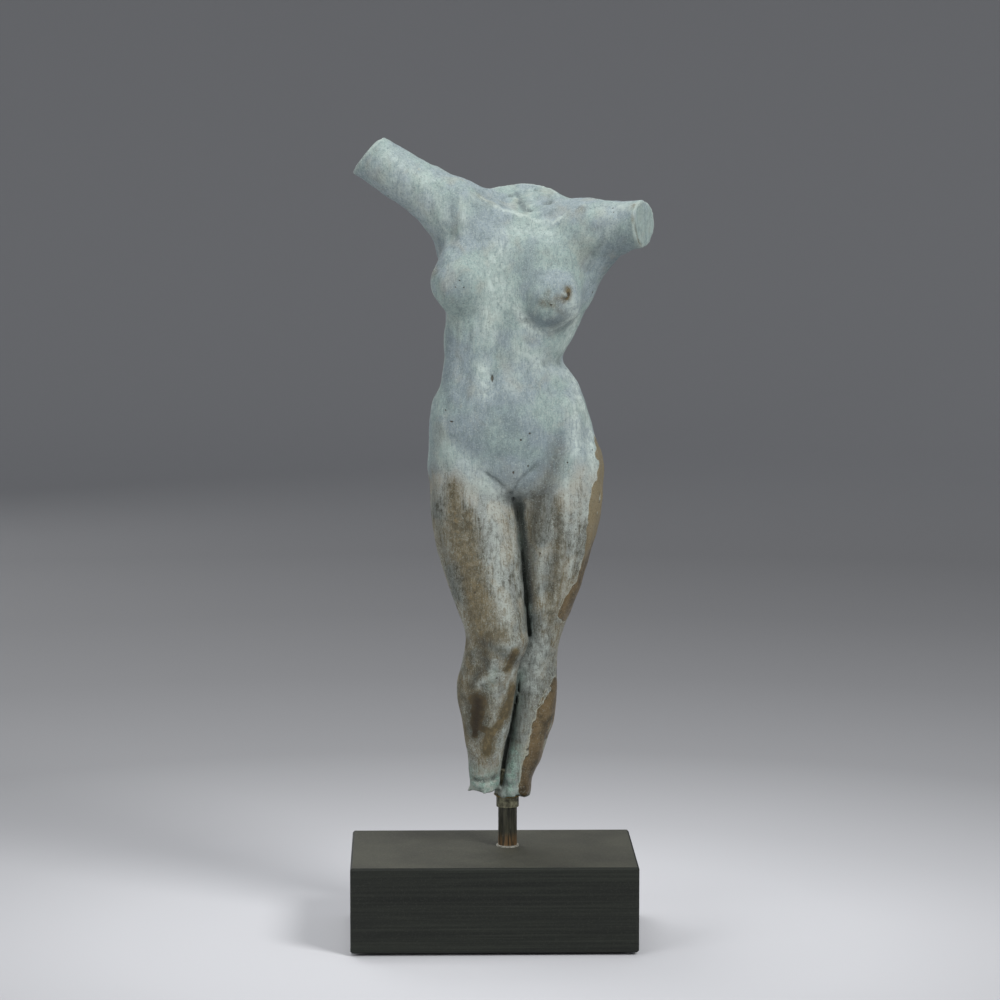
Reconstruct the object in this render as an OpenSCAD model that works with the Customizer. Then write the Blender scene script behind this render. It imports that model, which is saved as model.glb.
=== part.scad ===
// Headless bronze torso, cast hollow, on a round post bolted through a stone block.
// Millimetres. +Z is up and the figure faces -Y. The origin is the centre of the felt's underside.
// "Right" and "left" are the figure's own, so its right arm and leg are on the -X side.

/* [Figure] */
// Height of the casting, from the cut of the left leg to the top of the neck
figure_h = 324; // [200:1:480]
// Wall of the hollow casting
shell_t = 3.5; // [2.5:0.5:5]
// Diameter of the bronze plugs that close the core pin holes
plug_d = 4; // [3:0.5:6]
// Depth of each plug below the surface of the casting
plug_recess = 0.5; // [0.2:0.1:1]

/* [Boss] */
// Diameter of the boss, in the leg and below it
boss_d = 12; // [11:0.5:13]
// Length of the boss inside the leg
boss_in_leg = 14; // [8:1:20]
// Height of the collar that shows below the flange
collar_h = 5.5; // [3:0.5:10]
// Width of the flange under the leg, beyond the boss
flange_lip = 0.5; // [0.3:0.1:1]
// Thickness of that flange
flange_t = 1; // [0.6:0.1:2]
// Width of the brazed bead round the flange
braze_w = 0.9; // [0.4:0.1:1.5]
// Radial gap that the brazing fills in the leg
braze_gap = 0.05; // [0.02:0.01:0.1]

/* [Post] */
// Diameter of the post that shows
post_d = 10; // [9:0.5:12]
// Height of the leg's cut above the stone
leg_clearance = 28; // [18:0.5:60]
// Diameter of the studs on both ends of the post
stud_d = 8; // [6:1:8]
// Radial clearance of the studs in the nut and in the boss
thread_gap = 0.05; // [0.02:0.01:0.1]
// Length of stud in the boss
top_stud_l = 16; // [8:1:22]
// Length of stud that stands out of the nut
stud_spare = 3; // [1:0.5:5]
// Distance of the post to the right of the stone's centre
post_x = 8; // [-30:1:30]
// Distance of the post behind the stone's centre
post_y = 7.5; // [-20:0.5:20]

/* [Stone base] */
// Width of the stone block
base_w = 150; // [110:1:240]
// Depth of the stone block
base_d = 100; // [80:1:180]
// Height of the stone block
base_h = 45; // [36:1:90]
// Chamfer on all edges of the block
base_edge = 1; // [0.5:0.1:4]
// Radial clearance of the clamping washer in the recess for the nut
recess_gap = 1; // [0.5:0.5:4]
// Depth of that recess
recess_h = 20; // [17:1:30]
// Radial clearance of the stud in the stone
hole_gap = 0.5; // [0.2:0.1:1]

/* [Fastening] */
// Width of the pale washer beyond the post
seat_lip = 1; // [0.5:0.1:3]
// Thickness of that washer
seat_t = 0.8; // [0.5:0.1:2]
// Outside diameter of the clamping washer
washer_d = 24; // [18:1:28]
// Thickness of that washer
washer_t = 1.6; // [1:0.1:3]
// Radial clearance of the studs in all washers
washer_gap = 0.2; // [0.1:0.1:0.5]
// Outside diameter of the spring washer
spring_d = 14.8; // [12:0.1:17]
// Thickness of that washer
spring_t = 2; // [1:0.1:3]
// Width of the gap in that washer
spring_split = 1.2; // [0.5:0.1:3]
// Width of the nut across its flats
nut_af = 13; // [12:1:17]
// Height of the nut
nut_h = 6.5; // [5:0.5:8]

/* [Felt] */
// Thickness of the felt under the stone
felt_t = 1.5; // [1:0.5:4]
// Distance of the felt from the edges of the stone
felt_inset = 4; // [2:0.5:12]
// Radius of the felt's corners
felt_r = 8; // [2:1:20]

/* [Hidden] */
$fn = 96;

bronze = "#7d8f83";
bare_bronze = "#6b5638";
brass = "#b08d4c";
steel = "#a9adb0";
slate = "#34362f";
nylon = "#cfcfc6";
felt_black = "#161616";

flange_d = boss_d + 2 * flange_lip;
seat_d = post_d + 2 * seat_lip;
recess_d = washer_d + 2 * recess_gap;
stone_bottom = felt_t;
stone_top = stone_bottom + base_h;
leg_cut = stone_top + leg_clearance;
recess_top = stone_bottom + recess_h;
boss_bottom = leg_cut - flange_t - collar_h;
spring_top = recess_top - washer_t;
nut_top = spring_top - spring_t;
stud_bottom = nut_top - nut_h - stud_spare;

// The body is drawn at this height and then scaled to figure_h.
drawn_h = 324;
body_scale = figure_h / drawn_h;
ring_points = 28;
ring_step = 7;
arm_step = 9;

// ---- Body, drawn from the post's axis at the cut of the left leg ----
// Torso: height, centre x, half width, front y, back y
TORSO = [
    [156, 3, 12, -8, 14], [163, 3.5, 32, -16, 24], [170, 4, 42, -19, 28], [178, 3.8, 44.6, -20.5, 29],
    [188, 2.7, 43.4, -21, 27], [200, 1.1, 41.4, -21.5, 23], [211, 0.1, 37.8, -21.5, 18],
    [221, 0.2, 33.6, -21, 15], [231, -2.3, 30.2, -20, 14.5], [242, 0, 32.4, -20, 16.5],
    [253, 2.7, 35, -21, 20], [263, 4.5, 35.5, -22, 23], [274, 5.5, 36.5, -21, 25.5],
    [286, 5, 38, -17.5, 26.5], [296, 4, 38, -13, 26], [304, 4.5, 35, -8.5, 24],
    [311, 6, 27, -4, 21.5], [318, 8, 17.5, 0, 18.5], [324, 8, 10, 3, 14],
];
// Legs: height, centre x, centre y, half width, depth in front of the centre, depth behind it
RIGHT_LEG = [
    [4, -12.4, -7, 8, 8, 9], [12, -12.2, -7, 8.6, 8.5, 9.5], [23, -12, -8, 9.4, 9, 11],
    [35, -11.6, -9.5, 11.6, 10, 14], [48, -11.5, -11, 14, 11.5, 16], [59, -11.6, -12, 15.5, 12.5, 17],
    [71, -10, -13.5, 15.2, 14, 15.5], [80, -6.8, -15, 16, 15, 13.5], [87, -5.6, -15, 16.3, 15, 13.5],
    [101, -8.8, -12.5, 17.8, 16, 17], [115, -12, -9.5, 20, 17.5, 19], [131, -15, -6.5, 22, 19, 21],
    [147, -17.6, -3.5, 22.6, 20, 24], [164, -19, -0.5, 21.8, 20, 26], [178, -17, 2, 21, 19, 24],
    [190, -15, 3, 18, 17, 19], [202, -12, 2, 10, 10, 10],
];
LEFT_LEG = [
    [0, 2.8, 0, 8.9, 9.4, 9.4], [8, 3.7, 0, 9, 9.4, 9.6], [19, 7.4, 1, 10.2, 10, 11.5],
    [30, 10, 2, 11, 11, 14.5], [40, 12, 3, 12.5, 12, 17], [51, 12.2, 3.5, 13.9, 12.5, 18],
    [62, 12, 3, 14.2, 13, 17], [73, 12.2, 1.5, 14, 13.5, 14.5], [83, 13, 0.5, 14.6, 14, 14],
    [94, 15.8, 0.5, 15.6, 15, 16], [105, 19, 0.5, 17.1, 16.5, 18.5], [126, 22.3, 1, 20, 18.5, 21.5],
    [147, 26, 1.5, 22.6, 20, 24], [164, 27.4, 2, 22.6, 20.5, 25.5], [178, 25, 2.5, 22, 19.5, 23.5],
    [190, 21, 2.5, 18, 17, 19], [202, 17, 2, 10, 10, 10],
];
// Arms: distance along the arm, half height, half depth
RIGHT_ARM = [
    [-16, 9, 9], [-8, 14, 13], [4, 16.5, 15.5], [18, 14.6, 14], [32, 13.3, 12.6], [46, 12.8, 11.8], [58, 12.4, 11.4],
];
LEFT_ARM = [[-16, 9, 9], [-8, 14, 12.5], [4, 15.5, 15], [16, 14, 14], [28, 12.7, 12.6], [38, 12.4, 12]];
// Shoulder end and cut end of each arm
RIGHT_ARM_AT = [[-25, 5, 308], [-73.3, 16, 338]];
LEFT_ARM_AT = [[37, 3, 300], [70, -15, 303]];
// Rounded masses: centre, half sizes
BREASTS = [[[-25.5, -13.5, 272.5], [14.5, 13, 15]], [[22, -13, 266.5], [17, 15, 18]]];
BELLY = [[[-1, -9, 199], [24, 15, 24]]];
GLUTES = [[[-17, 15, 171.5], [21.5, 20, 23]], [[23.5, 16, 169.5], [22.5, 20, 24]]];
SHOULDERS = [[[-22, 14, 288], [16, 12, 21]], [[29, 13, 285], [16, 12, 21]], [[9, 11, 309], [22, 12, 15]]];
ARMPITS = [[[-29, 6, 284], [8, 12, 26]], [[42, 2, 284], [11, 13, 22]]];
MASSES = concat(BREASTS, BELLY, GLUTES, SHOULDERS, ARMPITS);
// Height of each core plug on the torso's back, and its distance to the left of the centre
PLUGS = [[206, -14], [238, 12], [262, -10], [308, 7]];

// Depth of solid bronze above the cut of each leg, and below the torn neck
solid_leg = 32;
solid_neck = 22;
// Heights between which the hollows of the torso and the legs run into each other
hollow_low = 170;
hollow_high = 180;
// Slant of the gap in the spring washer, and the rounding of the nut's corners
split_slant = 20;
nut_corner = 0.8;

// ---- Curves and skins ----
// Slope of a table's row i, from the rows either side of it
function slope(table, i) =
    let (a = table[max(i - 1, 0)], b = table[min(i + 1, len(table) - 1)])
    (b - a) / (b[0] - a[0]);

// Row of a table at any height, on one smooth curve through all its rows
function row_at(table, z) =
    let (
        last = len(table) - 2,
        i = min(last, max([0, for (k = [0:last]) if (table[k][0] <= z) k])),
        a = table[i],
        b = table[i + 1],
        h = b[0] - a[0],
        t = (z - a[0]) / h
    )
    a * (2 * t^3 - 3 * t^2 + 1) + b * (3 * t^2 - 2 * t^3)
    + slope(table, i) * h * (t^3 - 2 * t^2 + t) + slope(table, i + 1) * h * (t^3 - t^2);

// Lowest and highest row of a table
function low_end(table) = table[0][0];
function high_end(table) = table[len(table) - 1][0];

function heights(low, high, step) =
    let (n = ceil((high - low) / step))
    [for (k = [0:n]) low + (high - low) * k / n];

// Ring of points round an upright section with different depths in front and behind
function ring(z, cx, cy, half_w, front, back) = [
    for (k = [0:ring_points - 1])
        let (turn = 360 * k / ring_points, s = sin(turn))
        [cx + half_w * cos(turn), cy + (s < 0 ? front : back) * s, z]
];

function torso_ring(z, inset) =
    let (r = row_at(TORSO, z), cy = (r[3] + r[4]) / 2, depth = (r[4] - r[3]) / 2 - inset)
    ring(z, r[1], cy, r[2] - inset, depth, depth);

function leg_ring(leg, z, inset) =
    let (r = row_at(leg, z))
    ring(z, r[1], r[2], r[3] - inset, r[4] - inset, r[5] - inset);

// Closed skin over rings that have the same number of points
module skin(rings) {
    n = len(rings[0]);
    top = (len(rings) - 1) * n;
    sides = [
        for (k = [0:len(rings) - 2], i = [0:n - 1])
            let (a = k * n + i, b = k * n + (i + 1) % n)
            each [[a, a + n, b + n], [a, b + n, b]]
    ];
    caps = [[for (i = [0:n - 1]) i], [for (i = [n - 1:-1:0]) top + i]];
    polyhedron([for (r = rings) each r], concat(sides, caps));
}

module torso(low, high, inset) {
    skin([for (z = heights(low, high, ring_step)) torso_ring(z, inset)]);
}

module leg(table, low, high, inset) {
    skin([for (z = heights(low, high, ring_step)) leg_ring(table, z, inset)]);
}

// An arm stub from its shoulder end to its cut end
module arm(table, ends) {
    way = ends[1] - ends[0];
    reach = norm(way);
    translate(ends[0])
        rotate([0, acos(way.z / reach), atan2(way.y, way.x)])
            skin([for (t = heights(low_end(table), reach, arm_step))
                let (r = row_at(table, t)) ring(t, 0, 0, r[1], r[2], r[2])]);
}

module mass(centre, half) {
    translate(centre) scale(half) sphere(1, $fn = 22);
}

// Faceted shapes welded into one skin at the figure's size, standing on the post's axis
module at_figure() {
    translate([post_x, post_y, leg_cut])
        resize([0, 0, 0]) scale(body_scale) children();
}

module body_outside() {
    at_figure() union() {
        torso(low_end(TORSO), drawn_h, 0);
        for (table = [RIGHT_LEG, LEFT_LEG]) leg(table, low_end(table), high_end(table), 0);
        arm(RIGHT_ARM, RIGHT_ARM_AT);
        arm(LEFT_ARM, LEFT_ARM_AT);
        for (m = MASSES) mass(m[0], m[1]);
    }
}

// Space inside the casting, one wall in from the outside
module body_cavity() {
    inset = shell_t / body_scale;
    at_figure() union() {
        torso(hollow_low, drawn_h - solid_neck, inset);
        for (table = [RIGHT_LEG, LEFT_LEG])
            leg(table, low_end(table) + solid_leg, hollow_high, inset);
    }
}

// A bar through the back wall at each core plug, from depth a to depth b below the surface
module at_plugs(a, b, d) {
    for (p = PLUGS) {
        r = row_at(TORSO, p[0]);
        across = p[1] / r[2];
        back = (r[3] + r[4]) / 2 + (r[4] - r[3]) / 2 * sqrt(1 - across^2);
        translate([post_x, post_y, leg_cut])
            translate(body_scale * [r[1] + p[1], back, p[0]])
                rotate([90, 0, 0])
                    translate([0, 0, a]) cylinder(d = d, h = b - a);
    }
}

module washer(z, d, t, hole_d) {
    translate([post_x, post_y, z])
        difference() {
            cylinder(d = d, h = t);
            translate([0, 0, -1]) cylinder(d = hole_d, h = t + 2);
        }
}

// Box with the same chamfer on its twelve edges
module chamfered_box(w, d, h, edge) {
    hull()
        for (cut = [[0, edge, edge], [edge, 0, edge], [edge, edge, 0]])
            translate([-w / 2 + cut.x, -d / 2 + cut.y, cut.z])
                cube([w - 2 * cut.x, d - 2 * cut.y, h - 2 * cut.z]);
}

// ---- Pieces ----
module figure_casting() {
    color(bronze)
        difference() {
            body_outside();
            body_cavity();
            translate([post_x, post_y, leg_cut - 1])
                cylinder(d = boss_d + 2 * braze_gap, h = boss_in_leg + 1 + braze_gap);
            at_plugs(-5, shell_t + 5, plug_d);
        }
}

module core_plugs() {
    color(bare_bronze) at_plugs(plug_recess, shell_t, plug_d);
}

module leg_boss() {
    color(bare_bronze)
        translate([post_x, post_y, 0])
            difference() {
                union() {
                    translate([0, 0, boss_bottom])
                        cylinder(d = boss_d, h = leg_cut - boss_bottom + boss_in_leg);
                    translate([0, 0, leg_cut - flange_t]) cylinder(d = flange_d, h = flange_t);
                }
                translate([0, 0, boss_bottom - 1])
                    cylinder(d = stud_d + 2 * thread_gap, h = top_stud_l + 2);
            }
}

module braze_fillet() {
    color(brass)
        translate([post_x, post_y, leg_cut])
            rotate_extrude()
                polygon([
                    [flange_d / 2, -flange_t], [flange_d / 2 + braze_w, 0], [flange_d / 2, 0],
                ]);
}

module mounting_post() {
    shoulder = stone_top + seat_t;
    color(bare_bronze)
        translate([post_x, post_y, 0])
            union() {
                translate([0, 0, shoulder]) cylinder(d = post_d, h = boss_bottom - shoulder);
                translate([0, 0, stud_bottom])
                    cylinder(d = stud_d, h = boss_bottom + top_stud_l - stud_bottom);
            }
}

module seat_washer() {
    color(nylon) washer(stone_top, seat_d, seat_t, stud_d + 2 * washer_gap);
}

module base_block() {
    color(slate)
        difference() {
            translate([0, 0, stone_bottom]) chamfered_box(base_w, base_d, base_h, base_edge);
            translate([post_x, post_y, stone_bottom - 1]) cylinder(d = recess_d, h = recess_h + 1);
            translate([post_x, post_y, stone_bottom])
                cylinder(d = stud_d + 2 * hole_gap, h = base_h + 1);
        }
}

module clamp_washer() {
    color(steel) washer(spring_top, washer_d, washer_t, stud_d + 2 * washer_gap);
}

module spring_washer() {
    color(steel)
        difference() {
            washer(nut_top, spring_d, spring_t, stud_d + 2 * washer_gap);
            translate([post_x, post_y, nut_top - 1])
                rotate([split_slant, 0, 0])
                    translate([0, -spring_split / 2, -spring_t])
                        cube([spring_d, spring_split, 4 * spring_t]);
        }
}

module fixing_nut() {
    color(steel)
        translate([post_x, post_y, nut_top - nut_h])
            difference() {
                intersection() {
                    cylinder(d = nut_af / cos(30), h = nut_h, $fn = 6);
                    hull()
                        for (end = [0, 1])
                            translate([0, 0, end * (nut_h - 1)]) cylinder(d = nut_af + nut_corner, h = 1);
                }
                translate([0, 0, -1]) cylinder(d = stud_d + 2 * thread_gap, h = nut_h + 2);
            }
}

module felt_pad() {
    color(felt_black)
        linear_extrude(felt_t)
            union() {
                square([base_w - 2 * felt_inset - 2 * felt_r, base_d - 2 * felt_inset], center = true);
                square([base_w - 2 * felt_inset, base_d - 2 * felt_inset - 2 * felt_r], center = true);
                for (sx = [-1, 1], sy = [-1, 1])
                    translate([
                        sx * (base_w / 2 - felt_inset - felt_r),
                        sy * (base_d / 2 - felt_inset - felt_r),
                    ]) circle(r = felt_r);
            }
}

figure_casting();
core_plugs();
leg_boss();
braze_fillet();
mounting_post();
seat_washer();
base_block();
clamp_washer();
spring_washer();
fixing_nut();
felt_pad();
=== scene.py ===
"""Looks of a headless bronze statuette on a stone block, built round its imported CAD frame.

The casting is sculpted as a distance field on a grid, meshed, and given masks for its patina.
The felt is remade with a softer shape. Everything else keeps its CAD mesh and gets a procedural material.
"""

import math

import bmesh
import bpy
import numpy as np
import openvdb
from mathutils import Matrix, Vector, noise


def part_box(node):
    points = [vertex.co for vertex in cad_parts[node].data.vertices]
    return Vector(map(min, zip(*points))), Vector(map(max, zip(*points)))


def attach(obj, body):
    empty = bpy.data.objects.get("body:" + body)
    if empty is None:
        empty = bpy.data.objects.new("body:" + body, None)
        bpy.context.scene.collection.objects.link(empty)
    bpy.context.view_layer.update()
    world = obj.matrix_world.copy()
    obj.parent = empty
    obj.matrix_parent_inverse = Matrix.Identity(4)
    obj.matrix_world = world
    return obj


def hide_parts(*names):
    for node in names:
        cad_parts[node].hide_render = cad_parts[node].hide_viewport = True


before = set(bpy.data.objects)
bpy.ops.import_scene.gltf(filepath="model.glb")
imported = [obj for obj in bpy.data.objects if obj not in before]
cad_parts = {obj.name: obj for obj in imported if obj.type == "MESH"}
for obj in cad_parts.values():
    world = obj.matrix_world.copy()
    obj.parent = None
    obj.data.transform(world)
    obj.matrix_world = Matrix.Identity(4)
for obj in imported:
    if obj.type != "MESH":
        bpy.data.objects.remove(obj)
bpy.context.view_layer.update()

MM = 0.001
# Seed of the random lumps in the clay
SEED = 11
# Step of the sculptor's grid, in millimetres
VOXEL = 1.04
# Height of the figure as drawn below, in millimetres, from the cut of the left leg to the raised arm's end
DRAWN_HEIGHT = 348.4

boss_low, boss_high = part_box("leg_boss")
leg_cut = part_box("braze_fillet")[1][2]
casting_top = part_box("figure_casting")[1][2]
# The post's axis at the cut of the left leg
FOOT = Vector(((boss_low[0] + boss_high[0]) / 2, (boss_low[1] + boss_high[1]) / 2, leg_cut))
BODY_SCALE = (casting_top - FOOT[2]) / MM / DRAWN_HEIGHT


# ---- Camera, floor and light, in metres ----

CAMERA_PLACE = (-0.04366, -1.96938, 0.45683)
CAMERA_TURN = (-1.376, -6.490, -0.05)  # yaw, pitch and roll in degrees
CAMERA_LENS = 135.84  # on 36 mm film

FLOOR_RADIUS = 2.4
SWEEP_RADIUS = 1.0  # of the curve that takes the floor up into the wall
WALL_TOP = 1.4
# Painted pool of light on the floor: how pale it is, by distance from the statuette, palest near it
FLOOR_PAINTED_LIGHT = [(0, 0.70), (0.2, 0.59), (0.31, 0.48), (0.42, 0.40), (0.55, 0.31), (0.87, 0.245),
               (1.2, 0.215), (1.6, 0.215), (2.4, 0.34)]
# Soft lights: name, place, height that they point at, size, power in watts
LIGHTS = [
    ("key", (0.9, -1.0, 1.3), 0.28, 0.6, 21),
    ("fill", (-1.3, -1.2, 0.7), 0.25, 1.2, 11.5),
    ("top", (-0.2, 0.3, 1.6), 0.25, 0.8, 8),
    ("back", (-0.9, 1.5, 0.9), 0.25, 1.2, 7),
]
SKY_COLOUR = (0.80, 0.83, 0.88, 1)
SKY_STRENGTH = 0.36


def link(name, data):
    """A new object in the scene."""
    made = bpy.data.objects.new(name, data)
    bpy.context.scene.collection.objects.link(made)
    return made


def make_camera():
    data = bpy.data.cameras.new("camera")
    data.sensor_width = 36.0
    data.lens = CAMERA_LENS
    data.clip_start = 0.1
    data.clip_end = 20.0
    camera = link("camera", data)
    yaw, pitch, roll = (math.radians(angle) for angle in CAMERA_TURN)
    turn = Matrix.Rotation(yaw, 4, "Z") @ Matrix.Rotation(math.pi / 2 + pitch, 4, "X")
    turn = turn @ Matrix.Rotation(-roll, 4, "Z")
    camera.matrix_world = Matrix.Translation(CAMERA_PLACE) @ turn
    bpy.context.scene.camera = camera


def make_lights():
    for name, place, target_height, size, power in LIGHTS:
        data = bpy.data.lights.new(name, "AREA")
        data.shape = "DISK"
        data.size = size
        data.energy = power
        light = link(name, data)
        light.location = place
        way = Vector((0, 0, target_height)) - Vector(place)
        light.rotation_euler = way.to_track_quat("-Z", "Y").to_euler()
    world = bpy.data.worlds.new("studio")
    world.use_nodes = True
    sky = world.node_tree.nodes["Background"]
    sky.inputs["Color"].default_value = SKY_COLOUR
    sky.inputs["Strength"].default_value = SKY_STRENGTH
    bpy.context.scene.world = world
    bpy.context.scene.view_settings.view_transform = "Standard"


def floor_material():
    paint = Recipe("floor", roughness=0.9)
    furthest = FLOOR_PAINTED_LIGHT[-1][0]
    # painted pool of light: the floor's colour is paler near the statuette
    shade = paint.node("ValToRGB")
    away = paint.vector_math("LENGTH", paint.place)
    paint.feed(shade.inputs[0], paint.math("DIVIDE", away, furthest))
    while len(shade.color_ramp.elements) < len(FLOOR_PAINTED_LIGHT):
        shade.color_ramp.elements.new(0.5)
    for stop, (distance, tone) in zip(shade.color_ramp.elements, FLOOR_PAINTED_LIGHT):
        stop.position = distance / furthest
        stop.color = (tone, tone * 1.005, tone * 1.04, 1)
    return paint.set(base_color=shade.outputs["Color"])


def make_floor():
    turns = np.radians(np.arange(7.5, 91, 7.5))
    profile = [(0, 0), (FLOOR_RADIUS, 0)]
    profile += [(FLOOR_RADIUS + SWEEP_RADIUS * math.sin(a), SWEEP_RADIUS * (1 - math.cos(a))) for a in turns]
    profile += [(FLOOR_RADIUS + SWEEP_RADIUS, WALL_TOP)]
    mesh = turned("floor", profile, 96)
    mesh.materials.append(floor_material())
    link("floor", mesh)


# ---- Mesh and material helpers ----

def turned(name, profile, steps):
    """A surface turned about the vertical axis, through (radius, height) points."""
    points = []
    for k in range(steps):
        turn = 2 * math.pi * k / steps
        points += [(r * math.cos(turn), r * math.sin(turn), z) for r, z in profile]
    n = len(profile)
    faces = []
    for k in range(steps):
        for i in range(n - 1):
            a = k * n + i
            b = (k + 1) % steps * n + i
            faces.append((a, b, b + 1, a + 1))
    mesh = bpy.data.meshes.new(name)
    mesh.from_pydata(points, [], faces)
    work = bmesh.new()
    work.from_mesh(mesh)
    bmesh.ops.remove_doubles(work, verts=work.verts, dist=1e-6)
    bmesh.ops.recalc_face_normals(work, faces=work.faces)
    work.to_mesh(mesh)
    work.free()
    mesh.shade_smooth()
    return mesh


def srgb(red, green, blue):
    """A colour as it looks on a screen, 0 to 255, made linear."""
    parts = [value / 255 for value in (red, green, blue)]
    return tuple(v / 12.92 if v < 0.04 else ((v + 0.055) / 1.055) ** 2.4 for v in parts) + (1.0,)


class Recipe:
    """A material's nodes, added one at a time. Sizes are in millimetres."""

    def __init__(self, name, colour=(0.5, 0.5, 0.5, 1), roughness=0.6, metallic=0.0):
        self.material = bpy.data.materials.new(name)
        self.material.use_nodes = True
        self.material.diffuse_color = colour
        self.tree = self.material.node_tree
        self.shader = self.tree.nodes["Principled BSDF"]
        self.set(base_color=colour, roughness=roughness, metallic=metallic)
        self.place = self.node("TexCoord").outputs["Object"]

    def node(self, kind, **settings):
        node = self.tree.nodes.new("ShaderNode" + kind)
        for name, value in settings.items():
            setattr(node, name, value)
        return node

    def feed(self, socket, value):
        if isinstance(value, bpy.types.NodeSocket):
            self.tree.links.new(value, socket)
        else:
            socket.default_value = value

    def set(self, **values):
        """Feeds the shader's own sockets, and gives back the material."""
        for name, value in values.items():
            self.feed(self.shader.inputs[name.replace("_", " ").title()], value)
        return self.material

    def math(self, operation, a, b=0.0):
        node = self.node("Math", operation=operation)
        self.feed(node.inputs[0], a)
        self.feed(node.inputs[1], b)
        return node.outputs[0]

    def times(self, a, b):
        return self.math("MULTIPLY", a, b)

    def plus(self, a, b):
        return self.math("ADD", a, b)

    def minus(self, a, b):
        return self.math("SUBTRACT", a, b)

    def swing(self, value, size):
        """A cloudy value made to swing round 0."""
        return self.times(self.minus(value, 0.5), size)

    def vector_math(self, operation, vector, by=None):
        node = self.node("VectorMath", operation=operation)
        self.feed(node.inputs[0], vector)
        if by is not None:
            node.inputs[1].default_value = by
        return node.outputs["Value" if operation == "LENGTH" else "Vector"]

    def scaled(self, sizes):
        """The place, counted in steps of the given sizes."""
        return self.vector_math("MULTIPLY", self.place, [1 / (MM * size) for size in sizes])

    def noise(self, sizes, detail=3.0, roughness=0.55, distortion=0.0):
        """Cloudy values round 0.5, with bumps of the given sizes along X, Y and Z."""
        sizes = (sizes, sizes, sizes) if isinstance(sizes, (int, float)) else sizes
        node = self.node("TexNoise")
        self.feed(node.inputs["Vector"], self.scaled(sizes))
        node.inputs["Scale"].default_value = 1.0
        node.inputs["Detail"].default_value = detail
        node.inputs["Roughness"].default_value = roughness
        node.inputs["Distortion"].default_value = distortion
        return node.outputs["Fac"]

    def ramp(self, value, low, high, start=0.0, end=1.0):
        """From start to end on a soft curve, as a value goes from low to high."""
        node = self.node("MapRange", interpolation_type="SMOOTHSTEP")
        for socket, number in zip(node.inputs, (value, low, high, start, end)):
            self.feed(socket, number)
        return node.outputs[0]

    def lines(self, value, level, width):
        """Thin lines where a value crosses a level."""
        return self.ramp(self.math("ABSOLUTE", self.minus(value, level)), width, 0.0)

    def mix(self, factor, a, b):
        node = self.node("Mix", data_type="RGBA")
        self.feed(node.inputs[0], factor)
        self.feed(node.inputs[6], a)
        self.feed(node.inputs[7], b)
        return node.outputs[2]

    def tones(self, value, low, high, dark, light):
        """From one screen colour to another, as a value goes from low to high."""
        return self.mix(self.ramp(value, low, high), srgb(*dark), srgb(*light))

    def parts(self, value, kind="SeparateColor"):
        """The three numbers of a colour, or with SeparateXYZ of a place or a direction."""
        split = self.node(kind)
        self.feed(split.inputs[0], value)
        return split.outputs[:3]

    def masks(self, name):
        """The three values painted on the mesh under a name."""
        return self.parts(self.node("Attribute", attribute_name=name).outputs["Color"])

    def marks(self, marks, centre):
        """1 in the middle of oval marks on the front, 0 past their rims, placed from a centre."""
        total = 0.0
        for x, height, half_width, half_height in marks:
            middle = centre + Vector((x, 0, height)) * MM * BODY_SCALE
            offset = self.vector_math("SUBTRACT", self.place, middle)
            oval = self.vector_math("MULTIPLY", offset, (1 / (half_width * MM), 0, 1 / (half_height * MM)))
            total = self.math("MAXIMUM", total, self.ramp(self.vector_math("LENGTH", oval), 1.1, 0.4))
        depth = self.parts(self.place, "SeparateXYZ")[1]
        return self.times(total, self.math("LESS_THAN", depth, centre[1]))

    def bump(self, height, depth):
        """Adds fine relief, of a depth in millimetres."""
        node = self.node("Bump")
        node.inputs["Strength"].default_value = 1.0
        node.inputs["Distance"].default_value = depth * MM
        self.feed(node.inputs["Height"], height)
        return node.outputs[0]


# ---- Distance field sculpting, in millimetres from the post's axis at the cut of the left leg ----

# Distance where there is no clay, and how far past its box a shape is worked in
FAR = 60.0
MARGIN = 4
# Spacing of the points along a drawn line
LINE_STEP = 4
# Corners of the grid that the figure is sculpted in
GRID_LOW, GRID_HIGH = (-90, -46, -6), (86, 46, 352)


def soft_union(a, b, width):
    """Two distances joined, with a soft seam of the given width."""
    soft = np.maximum(width - np.abs(a - b), 0) / width
    return np.minimum(a, b) - soft * soft * width / 4


def soft_cut(a, b, width):
    """What of one distance lies inside another too, with a soft rim of the given width."""
    soft = np.maximum(width - np.abs(a - b), 0) / width
    return np.maximum(a, b) + soft * soft * width / 4


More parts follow.
